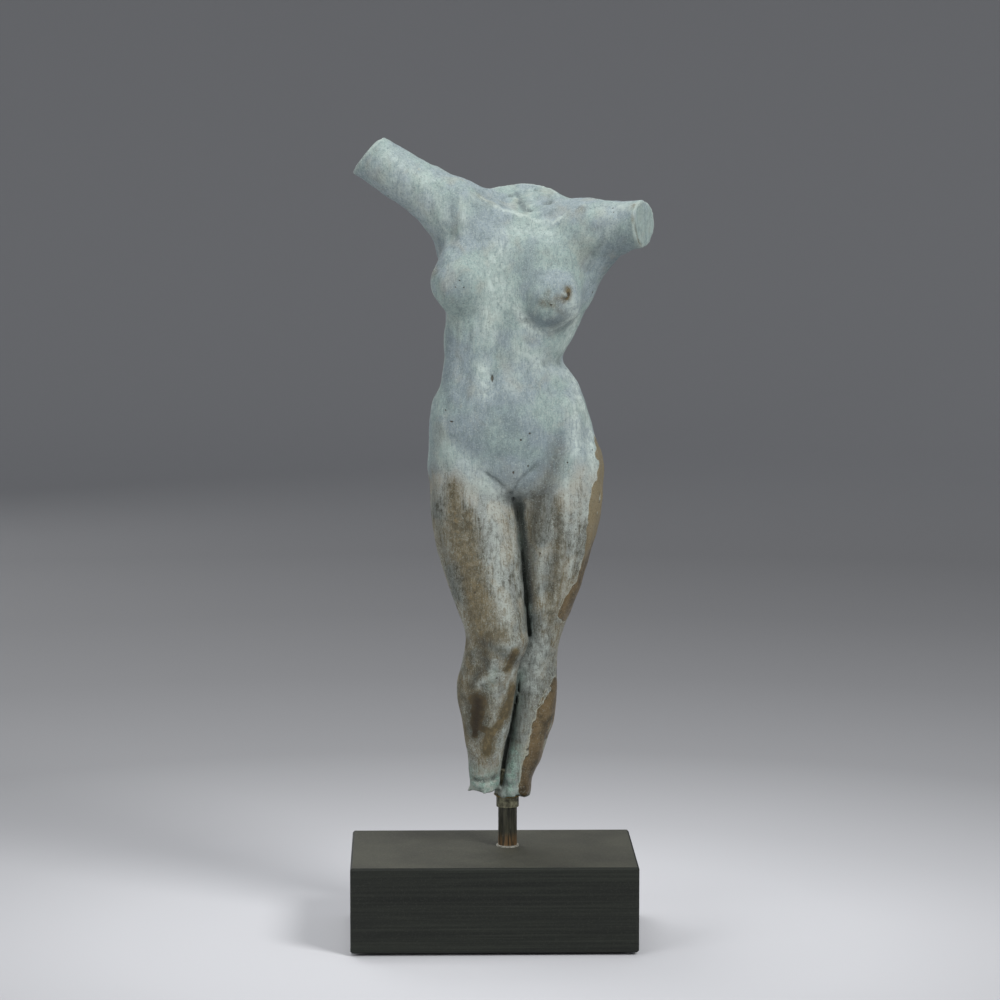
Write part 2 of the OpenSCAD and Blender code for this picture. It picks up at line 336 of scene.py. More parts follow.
class Clay:
    """A block of clay: the distance to its surface, negative inside, at every point of a grid."""

    def __init__(self, low, high, step):
        self.low = np.array(low, dtype=np.float32)
        self.step = step
        self.count = [int(math.ceil((h - l) / step)) + 1 for l, h in zip(low, high)]
        self.field = np.full(self.count, FAR, dtype=np.float32)

    def window(self, low, high):
        """Slices of the grid between two corners, and the coordinates there."""
        slices = []
        axes = []
        for axis in range(3):
            first = max(0, int((low[axis] - self.low[axis]) / self.step))
            last = min(self.count[axis], int((high[axis] - self.low[axis]) / self.step) + 2)
            slices.append(slice(first, max(first, last)))
            values = self.low[axis] + self.step * np.arange(first, max(first, last), dtype=np.float32)
            axes.append(values.reshape([-1 if a == axis else 1 for a in range(3)]))
        return tuple(slices), axes

    def combine(self, shape, low, high, width, sign, rule):
        margin = width + MARGIN
        where, (x, y, z) = self.window([v - margin for v in low], [v + margin for v in high])
        self.field[where] = rule(self.field[where], sign * shape(x, y, z), width)

    def add(self, shape, low, high, width):
        """Joins a shape on, with a soft seam of the given width."""
        self.combine(shape, low, high, width, 1, soft_union)

    def cut(self, shape, low, high, width):
        """Takes a shape away, with a soft rim of the given width."""
        self.combine(shape, low, high, width, -1, soft_cut)

    def face(self, side):
        """Depth of the front or back surface for every column of the grid."""
        inside = self.field < 0
        if side == "back":
            inside = inside[:, ::-1]
        first = inside.argmax(axis=1)
        if side == "back":
            first = self.count[1] - 1 - first
        return self.low[1] + self.step * first

    def on_face(self, face, points):
        """A line of (x, height) points, filled in every few millimetres and laid on a surface."""
        dense = [np.array(points[0], dtype=np.float32)]
        for point in points[1:]:
            end = np.array(point, dtype=np.float32)
            start = dense[-1]
            pieces = max(1, int(np.linalg.norm(end - start) / LINE_STEP))
            dense += [start + (end - start) * k / pieces for k in range(1, pieces + 1)]
        line = []
        for x, z in dense:
            column = int(round((x - self.low[0]) / self.step))
            level = int(round((z - self.low[2]) / self.step))
            line.append((x, face[column, level], z))
        return line

    def stroke(self, points, width, height):
        """Raises (or with a negative height, furrows) the surface along a line of points."""
        points = np.array(points, dtype=np.float32).reshape(-1, 3)
        reach = 2.6 * width
        where, (x, y, z) = self.window(points.min(0) - reach, points.max(0) + reach)
        nearest = line_distance(points, x, y, z)
        to_end = np.minimum(*(line_distance(points[k:k + 1], x, y, z) for k in (0, len(points) - 1)))
        taper = np.clip(0.3 + to_end / (6 * width), 0, 1) if len(points) > 1 else 1
        self.field[where] -= height * taper * np.exp(-0.5 * (nearest / width) ** 2)


def line_distance(points, x, y, z):
    """Distance from the grid's points to a line through the given points."""
    ends = zip(points, points[1:]) if len(points) > 1 else [(points[0], points[0])]
    nearest = None
    for a, b in ends:
        along = b - a
        length2 = max(float(along @ along), 1e-6)
        t = ((x - a[0]) * along[0] + (y - a[1]) * along[1] + (z - a[2]) * along[2]) / length2
        t = np.clip(t, 0, 1)
        d2 = (x - a[0] - t * along[0]) ** 2 + (y - a[1] - t * along[1]) ** 2 + (z - a[2] - t * along[2]) ** 2
        nearest = d2 if nearest is None else np.minimum(nearest, d2)
    return np.sqrt(nearest)


def smooth_rows(rows, at):
    """Rows of numbers, read on one smooth curve through them at every value of the first column."""
    rows = np.array(rows, dtype=np.float64)
    key = rows[:, 0]
    slope = np.empty_like(rows)
    slope[1:-1] = (rows[2:] - rows[:-2]) / (key[2:] - key[:-2])[:, None]
    slope[0] = (rows[1] - rows[0]) / (key[1] - key[0])
    slope[-1] = (rows[-1] - rows[-2]) / (key[-1] - key[-2])
    at = np.clip(at, key[0], key[-1])
    i = np.clip(np.searchsorted(key, at) - 1, 0, len(key) - 2)
    h = (key[i + 1] - key[i])[:, None]
    t = ((at - key[i]) / h[:, 0])[:, None]
    value = (rows[i] * (2 * t**3 - 3 * t**2 + 1) + rows[i + 1] * (3 * t**2 - 2 * t**3)
             + slope[i] * h * (t**3 - 2 * t**2 + t) + slope[i + 1] * h * (t**3 - t**2))
    return value.astype(np.float32)


def oval_distance(u, v, half_u, half_v, power=2.0):
    """Distance to an oval section; a power over 2 squares its corners a little."""
    a = np.abs(u / half_u)
    b = np.abs(v / half_v)
    k0 = (a**power + b**power) ** (1 / power) + 1e-6
    k1 = np.sqrt((a / half_u) ** 2 + (b / half_v) ** 2) + 1e-6
    return k0 * (k0 - 1) / k1


def egg(centre, half, turn=(0, 0, 0)):
    """An ellipsoid, turned by angles in degrees about X, Y and Z, with its box."""
    rotation = np.array(Matrix.Rotation(math.radians(turn[2]), 3, "Z")
                        @ Matrix.Rotation(math.radians(turn[1]), 3, "Y")
                        @ Matrix.Rotation(math.radians(turn[0]), 3, "X"), dtype=np.float32)

    def shape(x, y, z):
        p = [x - centre[0], y - centre[1], z - centre[2]]
        q = [sum(rotation[row][axis] * p[row] for row in range(3)) / half[axis] for axis in range(3)]
        k0 = np.sqrt(q[0] ** 2 + q[1] ** 2 + q[2] ** 2) + 1e-6
        k1 = np.sqrt(sum((q[axis] / half[axis]) ** 2 for axis in range(3))) + 1e-6
        return k0 * (k0 - 1) / k1

    reach = max(half)
    return shape, [c - reach for c in centre], [c + reach for c in centre]


def bone(a, b, radius_a, radius_b):
    """A rod with round ends that tapers from one radius to the other, with its box."""
    a = np.array(a, dtype=np.float32)
    b = np.array(b, dtype=np.float32)
    along = b - a

    def shape(x, y, z):
        t = ((x - a[0]) * along[0] + (y - a[1]) * along[1] + (z - a[2]) * along[2]) / float(along @ along)
        t = np.clip(t, 0, 1)
        d2 = (x - a[0] - t * along[0]) ** 2 + (y - a[1] - t * along[1]) ** 2 + (z - a[2] - t * along[2]) ** 2
        return np.sqrt(d2) - (radius_a + t * (radius_b - radius_a))

    reach = max(radius_a, radius_b)
    return shape, np.minimum(a, b) - reach, np.maximum(a, b) + reach


def slit(points, half, depth):
    """A thin wall of air that follows a line of (x, height) points, from the front to a depth."""
    line = np.array([(x, 0, z) for x, z in points], dtype=np.float32)

    def shape(x, y, z):
        return np.maximum(line_distance(line, x, 0, z) - half, y - depth)

    low = [line[:, 0].min() - half, -40, line[:, 2].min() - half]
    high = [line[:, 0].max() + half, depth, line[:, 2].max() + half]
    return shape, low, high


# ---- The figure ----

# Torso: height, centre x, half width, front y, back y, x of the midline in front
TORSO = [
    [148, 3, 3, 3, 8, 2.2], [156, 3, 12, -6, 13, 2.2], [163, 3.5, 32, -16, 24, 2.2],
    [170, 4, 42, -19, 28, 1.0], [178, 3.8, 44.6, -20.5, 29, -1.0], [188, 2.7, 43.4, -21.0, 27, -3.5],
    [200, 1.1, 41.4, -21.5, 23, -6.5], [211, 0.1, 37.8, -21.5, 18.5, -8.5], [221, 0.2, 33.6, -21, 16.5, -9.0],
    [231, -2.3, 30.2, -20, 16, -8.5], [242, 0.1, 32.6, -20, 17.5, -6.5], [253, 2.7, 35.2, -20.5, 20, -4.0],
    [263, 4.4, 36.5, -21, 22.5, -2.0], [274, 5.5, 37.5, -20.5, 25, -1.0], [286, 5, 38.5, -17.5, 26, 0.5],
    [296, 4.5, 38, -13, 25.5, 1.5], [304, 4.5, 34, -8.5, 24, 2.5], [311, 6, 27, -4, 21.5, 4],
    [318, 8, 17.5, 0, 18.5, 6], [324, 8, 11, 3, 14, 8],
]
# Legs: height, centre x, centre y, half width, depth in front of the centre, depth behind it
RIGHT_LEG = [
    [-4, -12.5, -7, 8, 8, 9], [4, -12.4, -7, 8.2, 8.2, 9.2], [12, -12.2, -7, 8.6, 8.5, 9.5],
    [23, -12, -8, 9.4, 9, 11], [35, -11.6, -9.5, 11.6, 10, 14], [48, -11.5, -11, 14, 11.5, 16],
    [59, -11.6, -12, 15.5, 12.5, 17], [71, -10, -13.5, 15.2, 14, 15.5], [80, -6.8, -15, 16, 15, 13.5],
    [87, -5.6, -15, 16.3, 15, 13.5], [101, -8.8, -12.5, 17.8, 16, 17], [115, -12, -9.5, 20, 17.5, 19],
    [131, -15, -6.5, 22, 19, 21], [147, -17.6, -3.5, 22.6, 20, 24], [164, -19, -0.5, 21.8, 20, 26],
    [178, -17, 2, 21, 19, 24], [190, -15, 3, 18, 17, 19], [202, -12, 2, 10, 10, 10],
]
LEFT_LEG = [
    [-8, 2.4, 0, 8.9, 9.4, 9.4], [0, 2.8, 0, 8.9, 9.4, 9.4], [8, 3.7, 0, 9, 9.4, 9.6],
    [19, 7.4, 1, 10.2, 10, 11.5], [30, 10, 2, 11, 11, 14.5], [40, 12, 3, 12.5, 12, 17],
    [51, 12.2, 3.5, 13.9, 12.5, 18], [62, 12, 3, 14.2, 13, 17], [73, 12.2, 1.5, 14, 13.5, 14.5],
    [83, 13, 0.5, 14.6, 14, 14], [94, 15.8, 0.5, 15.6, 15, 16], [105, 19, 0.5, 17.1, 16.5, 18.5],
    [126, 22.3, 1, 20, 18.5, 21.5], [147, 26, 1.5, 22.6, 20, 24], [164, 27.4, 2, 22.6, 20.5, 25.5],
    [178, 25, 2.5, 22, 19.5, 23.5], [190, 21, 2.5, 18, 17, 19], [202, 17, 2, 10, 10, 10],
]
# Arms: distance from the shoulder end, half height, half depth
RIGHT_ARM = [[-16, 9, 9], [-8, 14, 13], [4, 16.0, 15], [18, 14.4, 14], [32, 13.2, 12.6], [46, 12.7, 11.8],
             [66, 12.0, 11.2]]
LEFT_ARM = [[-16, 9, 9], [-8, 14, 12.5], [4, 15, 15], [16, 13.6, 14], [28, 12.6, 12.6], [44, 12.3, 12]]
# Shoulder end, centre of the cut, and the way the cut faces
RIGHT_ARM_AT = [(-25, 5, 308), (-73.3, 16, 338), (-0.76, 0.15, 0.63)]
LEFT_ARM_AT = [(37, 3, 300), (70, -15, 303), (0.87, -0.48, 0.02)]
# How far an arm's box reaches past the line between its ends
ARM_REACH = 18


def torso_shape(x, y, z):
    row = smooth_rows(TORSO, z.ravel())
    _, cx, half, front, back, mid = (row[:, i].reshape(z.shape) for i in range(6))
    cy = (front + back) / 2
    depth = (back - front) / 2
    shear = (mid - cx) * np.clip((cy - y) / depth, -0.5, 1)
    return oval_distance(x - cx - shear, y - cy, half, depth, 2.2)


def leg_shape(rows, cut):
    """A leg, cut off level at a height."""
    def shape(x, y, z):
        row = smooth_rows(rows, z.ravel())
        _, cx, cy, half, front, back = (row[:, i].reshape(z.shape) for i in range(6))
        depth = np.where(y < cy, front, back)
        side = oval_distance(x - cx, y - cy, half, depth, 2.1)
        return np.maximum(np.maximum(side, z - rows[-1][0]), cut - z)
    return shape


def arm_shape(rows, ends):
    """An arm from its shoulder end to its cut, with its box."""
    shoulder, stop, facing = ends
    start = np.array(shoulder, dtype=np.float32)
    facing = np.array(facing) / np.linalg.norm(facing)
    way = np.array(stop, dtype=np.float32) - start
    way /= np.linalg.norm(way)
    flat = np.cross((0, 0, 1), way)
    flat /= np.linalg.norm(flat)
    rise = np.cross(way, flat)

    def shape(x, y, z):
        p = (x - start[0], y - start[1], z - start[2])
        along = sum(way[i] * p[i] for i in range(3))
        u = sum(flat[i] * p[i] for i in range(3))
        v = sum(rise[i] * p[i] for i in range(3))
        row = smooth_rows(rows, along.ravel())
        high, deep = (row[:, i].reshape(along.shape) for i in (1, 2))
        side = oval_distance(u, v, deep, high)
        cut = facing[0] * (x - stop[0]) + facing[1] * (y - stop[1]) + facing[2] * (z - stop[2])
        return np.maximum(np.maximum(side, cut), rows[0][0] - along)

    return shape, np.minimum(shoulder, stop) - ARM_REACH, np.maximum(shoulder, stop) + ARM_REACH


def soft_noise(count, step, size, seed):
    """Smooth random values on a grid, with bumps of the given size along each axis."""
    random = np.random.default_rng(seed)
    value = random.standard_normal([int(n * step / s) + 6 for n, s in zip(count, size)]).astype(np.float32)
    for axis in range(3):
        at = np.arange(count[axis]) * step / size[axis] + 1
        i = at.astype(int)
        t = (at - i).astype(np.float32).reshape([-1 if a == axis else 1 for a in range(3)])
        p = [np.take(value, i + k, axis) for k in (-1, 0, 1, 2)]
        value = p[1] + 0.5 * t * (p[2] - p[0] + t * (2 * p[0] - 5 * p[1] + 4 * p[2] - p[3]
                                                     + t * (3 * (p[1] - p[2]) + p[3] - p[0])))
    return value


# Lines drawn on the front or back: points (x, height), width, height of the ridge or depth of the furrow
FRONT_LINES = [
    ([(-2, 300), (-2.5, 285), (-3, 268), (-1.5, 259)], 3.2, -0.9),  # breastbone
    ([(-2.4, 259), (-4, 248), (-6.5, 237), (-8.5, 226)], 2.6, -0.8),  # midline of the belly
    ([(-8.6, 219), (-6.5, 206), (-3, 194)], 3.0, -0.35),
    ([(-23, 255), (-22.5, 242), (-23, 226), (-26, 209)], 3.2, -0.45),  # outer edges of the belly muscle
    ([(13, 252), (10, 240), (8.5, 226), (13, 207)], 3.2, -0.3),
    ([(-13, 240), (-14, 230)], 3.4, 0.35),
    ([(3, 245), (2, 235)], 3.4, 0.3),
    ([(-3, 262), (-12, 250), (-22, 244), (-31, 243)], 2.2, 0.45),  # lower edge of the ribs
    ([(2, 261), (12, 248), (24, 240), (31, 238)], 2.2, 0.5),
    ([(31, 231), (22, 230), (13, 232)], 2.4, -0.55),  # fold at the waist
    ([(30, 236), (21, 236.5), (13, 238)], 2.4, 0.4),
    ([(-8.8, 226), (-8.8, 220.5)], 2.0, -0.7),  # dish of the navel
    ([(38, 213), (33, 202), (27, 191), (20, 182.5)], 3.0, -0.4),  # hip to groin
    ([(-38, 207), (-33, 196), (-26, 185), (-16, 177)], 3.2, -0.3),
    ([(36, 216), (39, 207), (38, 198)], 3.0, 0.7),  # hip bones
    ([(-36, 210), (-37, 202), (-35, 194)], 3.0, 0.6),
    ([(-12, 315), (-4, 310), (6.8, 307.4), (14.4, 304), (23, 303.4), (28, 306.5), (33, 310)],
     0.9, 0.6),  # lip of the torn neck
    ([(9, 309.5), (11.5, 305)], 0.9, 0.8),
    ([(13, 306.5), (17.5, 303)], 0.9, 0.7),
    ([(19, 306), (21, 302.5)], 0.9, 0.7),
    ([(24, 308), (27.5, 304)], 0.9, 0.8),
    ([(0, 312), (3, 308.5)], 0.9, 0.6),
    ([(-9, 317), (0, 313), (6, 310), (14, 307.5), (22, 307)], 1.6, -0.5),
    ([(4, 326), (4.6, 318), (6.6, 313), (10.5, 309)], 1.3, -0.8),
    ([(9.5, 325), (11.5, 318), (14.5, 311)], 2.4, 0.5),
    ([(-4, 320), (-0.5, 314), (3, 310)], 2.0, 0.6),
    ([(-15, 176), (-6.5, 170), (-2.5, 166.5), (3.2, 161)], 0.85, -0.75),  # groin
    ([(16, 179), (7.1, 171.9), (4, 168), (0.4, 161)], 0.85, -0.75),
    ([(-20, 11), (-14, 9.5), (-9, 10.5), (-4.5, 12)], 1.1, -1.5),  # rims of the stubs
    ([(-20, 8), (-16, 6.5), (-11, 7.5), (-5, 8.5)], 1.1, 1.3),
    ([(-12, 13), (-10, 8.5)], 1.0, 0.8),
    ([(-8.5, 6.5), (-6, 9)], 1.2, -1.0),
    ([(-17.5, 6.2), (-15.5, 4.8)], 1.0, -0.8),
    ([(-2, 7.5), (2, 5), (6, 7), (10, 5)], 0.9, -0.7),
    ([(-1.5, 13), (1, 9), (4.5, 11)], 1.2, 0.7),
    ([(-28.0, 318), (-29.5, 311), (-29.8, 304.5), (-28, 296)], 2.0, -0.75),  # front of the raised shoulder
    ([(-25, 316), (-25.6, 308), (-25, 299), (-23.5, 292)], 1.6, 0.7),
    ([(-33, 300), (-30.5, 293), (-29, 286)], 2.2, -0.7),
    ([(56, 305), (50, 296), (44.5, 287), (40.5, 280)], 2.0, -0.8),  # front of the left armpit
    ([(52, 305.5), (46, 297), (40.5, 288), (37.5, 279)], 1.9, 0.9),
    ([(12, 303), (24, 303.5), (36, 309)], 2.4, 0.9),  # collar bones
    ([(-1, 306), (-11, 311), (-21, 317)], 2.4, 0.7),
    ([(13, 298), (24, 297), (36, 302)], 3.0, -0.6),
    ([(-3, 300), (-12, 304), (-21, 310)], 3.0, -0.5),
    ([(-30, 170), (-25, 155), (-20, 138), (-15, 122)], 2.6, -0.6),  # thigh muscles
    ([(22, 172), (21, 150), (17, 125)], 2.8, -0.5),
    ([(-7, 110), (-3.5, 100), (-0.5, 93)], 3.4, 1.0),
    ([(-20, 112), (-18, 101), (-15, 92)], 3.0, 0.6),
    ([(-14, 93), (-13, 86)], 2.6, -0.6),
    ([(21, 98), (20, 90)], 2.6, 0.4),
    ([(-0.4, 90), (2.2, 84), (2.8, 79)], 1.7, 0.7),  # right kneecap and the cords round it
    ([(1.5, 78), (-1.5, 74), (-5.5, 71.5), (-8, 68)], 1.7, 0.8),
    ([(-7.5, 76), (-9.5, 71), (-9, 67)], 2.0, 0.9),
    ([(-8, 68), (-12.6, 66), (-16, 62.5)], 1.5, 0.9),
    ([(-13.5, 79), (-11, 73)], 1.5, -1.1),
    ([(-5, 80), (-2, 77)], 1.6, -0.6),
    ([(-16.5, 70), (-17.5, 62)], 1.5, -0.6),
    ([(-5, 68), (-7, 60)], 1.8, 0.6),
    ([(-1.5, 70), (1.5, 66), (2.4, 60)], 1.4, 0.7),
    ([(-8.5, 60), (-10, 45), (-11.5, 28), (-12.2, 12)], 1.9, 0.55),  # shins
    ([(-14.5, 60), (-16.5, 46), (-16.8, 33), (-15.5, 20)], 2.0, -0.45),
    ([(16, 80), (16, 73)], 2.8, 0.9),  # left kneecap
    ([(21.5, 82), (22, 73), (20, 66)], 2.0, -0.6),
    ([(10.8, 82), (10.8, 73)], 2.0, -0.5),
    ([(15, 64), (13, 48), (9.5, 30), (5, 14)], 1.9, 0.5),
    ([(19, 60), (18, 46), (14.5, 32), (9.5, 16)], 2.0, -0.4),
]
# Slits between the legs: points (x, height) from the front, half width, and how far back they reach
SLITS = [
    ([(2.6, 160), (4.2, 150), (6, 139)], 0.45, -11),
    ([(6, 139), (7.6, 128.7), (8.6, 115), (9.4, 103)], 0.7, -10.5),
    ([(9.4, 103), (10.6, 93), (11, 87)], 0.6, -10.5),
    ([(6.4, 70), (5.4, 56), (2.8, 43), (0.3, 30)], 0.5, -3),
    ([(0.3, 30), (-2, 18), (-3.8, 6)], 0.8, -1),
]
BACK_LINES = [
    ([(8, 312), (7, 296), (7, 276), (6.5, 256), (6.5, 240), (6.5, 222), (6, 206), (4, 194)],  # spine
     3.0, -1.9),
    ([(14, 296), (15, 276), (14, 256), (14, 236), (13.5, 218), (13, 206)], 3.8, 0.9),
    ([(1, 298), (-1, 276), (-0.5, 256), (-1, 236), (-1, 218), (-2, 206)], 3.8, 0.9),
    ([(23, 308), (21, 294), (23, 280), (30, 270)], 2.2, 1.0),  # shoulder blades
    ([(17.5, 306), (16, 292), (18, 278), (26, 266)], 2.6, -0.8),
    ([(-9, 312), (-8, 298), (-13, 284), (-22, 272)], 2.2, 1.0),
    ([(-4.5, 308), (-4, 295), (-8, 281), (-17, 268)], 2.6, -0.8),
    ([(24, 306), (34, 309), (44, 308)], 2.4, 0.8),
    ([(-12, 315), (-22, 320), (-32, 325)], 2.4, 0.7),
    ([(13.5, 199.5)], 2.2, -1.2),  # dimples above the seat
    ([(-5, 201)], 2.2, -1.2),
    ([(31, 208), (22, 204), (14, 196)], 2.6, 0.5),
    ([(-25, 212), (-16, 206), (-7, 198)], 2.6, 0.5),
    ([(3.6, 194), (3.6, 184), (3.4, 172), (3.2, 160), (3.2, 152)], 1.8, -4.2),  # between the buttocks
    ([(7, 151), (15, 147), (26, 146.5), (35, 150)], 2.4, -0.9),  # folds under them
    ([(0, 153), (-8, 149.5), (-18, 149), (-27, 153)], 2.4, -0.9),
    ([(43, 178), (39, 170), (38, 160)], 3.6, -0.9),
    ([(-35, 182), (-33, 172), (-33, 162)], 3.6, -0.8),
    ([(24, 142), (22, 122), (19, 104), (15, 90)], 2.4, -0.7),  # back of the thighs
    ([(-17, 142), (-14, 122), (-11, 106), (-8, 92)], 2.4, -0.7),
    ([(20, 100), (19.5, 88), (19.5, 78)], 2.0, 0.8),
    ([(8, 98), (7.5, 86), (7.5, 78)], 2.0, 0.8),
    ([(13.5, 84), (13, 76)], 3.0, -1.2),  # hollows of the knees
    ([(-7.5, 86), (-8, 78)], 3.0, -1.2),
    ([(12.5, 70), (12, 58), (11.5, 46), (9.5, 34)], 2.0, -0.8),  # calves
    ([(-10.5, 72), (-11.5, 60), (-11.8, 46), (-12, 36)], 2.0, -0.8),
    ([(16, 44), (12, 38), (9, 42)], 2.0, -0.6),
    ([(-7, 44), (-11.5, 38), (-16, 43)], 2.0, -0.6),
    ([(8.5, 30), (5, 14), (3.5, 4)], 2.2, 0.7),
    ([(-12, 32), (-12.2, 18), (-12.2, 8)], 2.2, 0.7),
]


# ---- Sculpting ----

# Masses of the body: shape with its box, and width of its soft seam. The order matters.
BUTTOCKS = [
    (egg((-17, 14, 173), (21, 20, 23)), 10),
    (egg((23.5, 15, 170), (22, 20, 24)), 10),
]
UPPER_BODY = [
    (egg((-29, 6, 309), (15, 14, 13), (0, 30, 0)), 8),  # shoulders
    (egg((41, 1, 300), (14, 14, 13)), 8),
    (bone((9, 10, 292), (8, 13, 310), 16, 13), 10),  # neck
    (bone((9, 12, 307), (-24, 9, 312), 8, 8), 8),  # slopes from the neck to the shoulders
    (bone((11, 13, 309), (36, 7, 302), 9, 8), 8),
    (bone((-29, 6, 300), (-25, 8, 262), 7, 8.5), 9),  # sides below the armpits
    (bone((55, -4, 297), (36, 4, 268), 8, 8), 9),
    (bone((-4, -4, 288), (-26, 0, 304), 10, 9), 9),  # chest muscles
    (bone((6, -5, 284), (38, -4, 296), 10, 9), 9),
    (egg((-20, 16, 288), (14, 10, 20), (0, 14, 0)), 9),  # shoulder blades
    (egg((28, 15, 284), (14, 10, 20), (0, -10, 0)), 9),
    (egg((-25.5, -12, 277), (12, 9, 17)), 8),  # breasts, upper slopes first
    (egg((21.5, -11, 276), (14, 9, 19)), 8),
    (egg((-25.6, -14, 271.5), (14.4, 12.5, 13.5)), 6),
    (egg((21.8, -13.5, 265), (16.8, 15, 16.6)), 5),
    (egg((-38.2, -15, 278), (1.5, 1.8, 2.0)), 1.5),  # nipples
    (egg((29.2, -27.3, 266.7), (1.4, 1.8, 1.4)), 1.5),
    (egg((-1.5, -10, 199), (23, 14.5, 23)), 9),  # belly
    (egg((2, -16, 173), (9, 6, 10)), 5),
    (egg((29, -3, 203), (9, 14, 14)), 8),  # hips
    (egg((-24.5, -4, 200), (8, 13, 14)), 9),
]
# The bronze left between the calves
BETWEEN_CALVES = bone((0.5, 5, 14), (5.5, 5, 70), 3, 5)
# The torn neck is hollowed by an egg that stands over it
NECK_HOLLOW = egg((9, -30, 347), (43, 58, 42.5))
# Widths of the seam between the legs and the torso, and of the rims of slits and of the torn neck
GROIN_SEAM = 9
SHARP_RIM = 0.8


def sculpt_figure():
    clay = Clay(GRID_LOW, GRID_HIGH, VOXEL)
    clay.add(torso_shape, [-60, -44, 154], [60, 44, 324], 2)
    for mass, seam in BUTTOCKS:
        clay.add(*mass, seam)
    legs = Clay(GRID_LOW, GRID_HIGH, VOXEL)
    legs.add(leg_shape(RIGHT_LEG, 4), [-60, -44, -6], [40, 44, 202], 1)
    legs.add(leg_shape(LEFT_LEG, 0), [-30, -44, -6], [60, 44, 202], 1.2)
    legs.add(*BETWEEN_CALVES, 2)
    clay.field = soft_union(clay.field, legs.field, GROIN_SEAM)
    clay.add(*arm_shape(RIGHT_ARM, RIGHT_ARM_AT), 10)
    clay.add(*arm_shape(LEFT_ARM, LEFT_ARM_AT), 10)
    for mass, seam in UPPER_BODY:
        clay.add(*mass, seam)
    for points, half, depth in SLITS:
        clay.cut(*slit(points, half, depth), SHARP_RIM)
    uneven = soft_noise(clay.count, VOXEL, (7, 7, 7), SEED)
    lumps = soft_noise(clay.count, VOXEL, (3.5, 3.5, 3.5), SEED + 1)
    tear_neck(clay, uneven, lumps)
    for face, lines in [(clay.face("front"), FRONT_LINES), (clay.face("back"), BACK_LINES)]:
        for points, width, height in lines:
            clay.stroke(clay.on_face(face, points), width, height)
    roughen(clay, uneven, lumps)
    return clay


def tear_neck(clay, uneven, lumps):
    _, (x, y, z) = clay.window(GRID_LOW, GRID_HIGH)
    hollow = -(NECK_HOLLOW[0](x, y, z) + 0.6 * uneven + 0.5 * lumps)
    clay.field = soft_cut(clay.field, hollow, SHARP_RIM)


def roughen(clay, uneven, lumps):
    """The modeller's touch: slow lumps, scratches that run up and down, and ragged stubs."""
    _, (_, _, z) = clay.window(GRID_LOW, GRID_HIGH)
    clay.field += 0.22 * uneven
    clay.field += np.clip((11 - z) / 8, 0, 1) * (0.5 * uneven + 0.6 * lumps)
    clay.field += 0.16 * soft_noise(clay.count, VOXEL, (2.4, 2.4, 9), SEED + 2)
    clay.field += 0.07 * lumps


def mesh_from_clay(clay, name):
    """A mesh of the clay's surface in the shared frame, and its points counted in steps of the grid."""
    grid = openvdb.FloatGrid(FAR)
    grid.copyFromArray(clay.field)
    points, quads = grid.convertToQuads(isovalue=0.0)
    points = points.astype(np.float32)
    gradient = np.gradient(clay.field, clay.step)
    # two steps along the slope lay the points on the surface
    for _ in range(2):
        value = sample(clay.field, points)
        slope = np.stack([sample(g, points) for g in gradient], 1)
        length2 = np.maximum((slope**2).sum(1), 0.2)
        points -= (value / length2)[:, None] * slope / clay.step
    place = (clay.low + points * clay.step) * MM * BODY_SCALE + np.array(FOOT, dtype=np.float32)
    mesh = bpy.data.meshes.new(name)
    mesh.vertices.add(len(place))
    mesh.vertices.foreach_set("co", place.ravel())
    mesh.loops.add(4 * len(quads))
    mesh.loops.foreach_set("vertex_index", quads[:, ::-1].astype(np.int32).ravel())
    mesh.polygons.add(len(quads))
    mesh.polygons.foreach_set("loop_start", np.arange(0, 4 * len(quads), 4, dtype=np.int32))
    mesh.update(calc_edges=True)
    mesh.validate()
    mesh.shade_smooth()
    return mesh, points


def sample(field, points):
    """Values of a grid between its points."""
    high = np.array(field.shape) - 2
    base = np.clip(points.astype(int), 0, high)
    t = points - base
    value = 0
    for corner in range(8):
        step = [(corner >> axis) & 1 for axis in range(3)]
        weight = np.prod([t[:, a] if step[a] else 1 - t[:, a] for a in range(3)], axis=0)
        value = value + weight * field[base[:, 0] + step[0], base[:, 1] + step[1], base[:, 2] + step[2]]
    return value


# ---- Patina: what is painted on the figure, as (line of points, radius, strength) ----

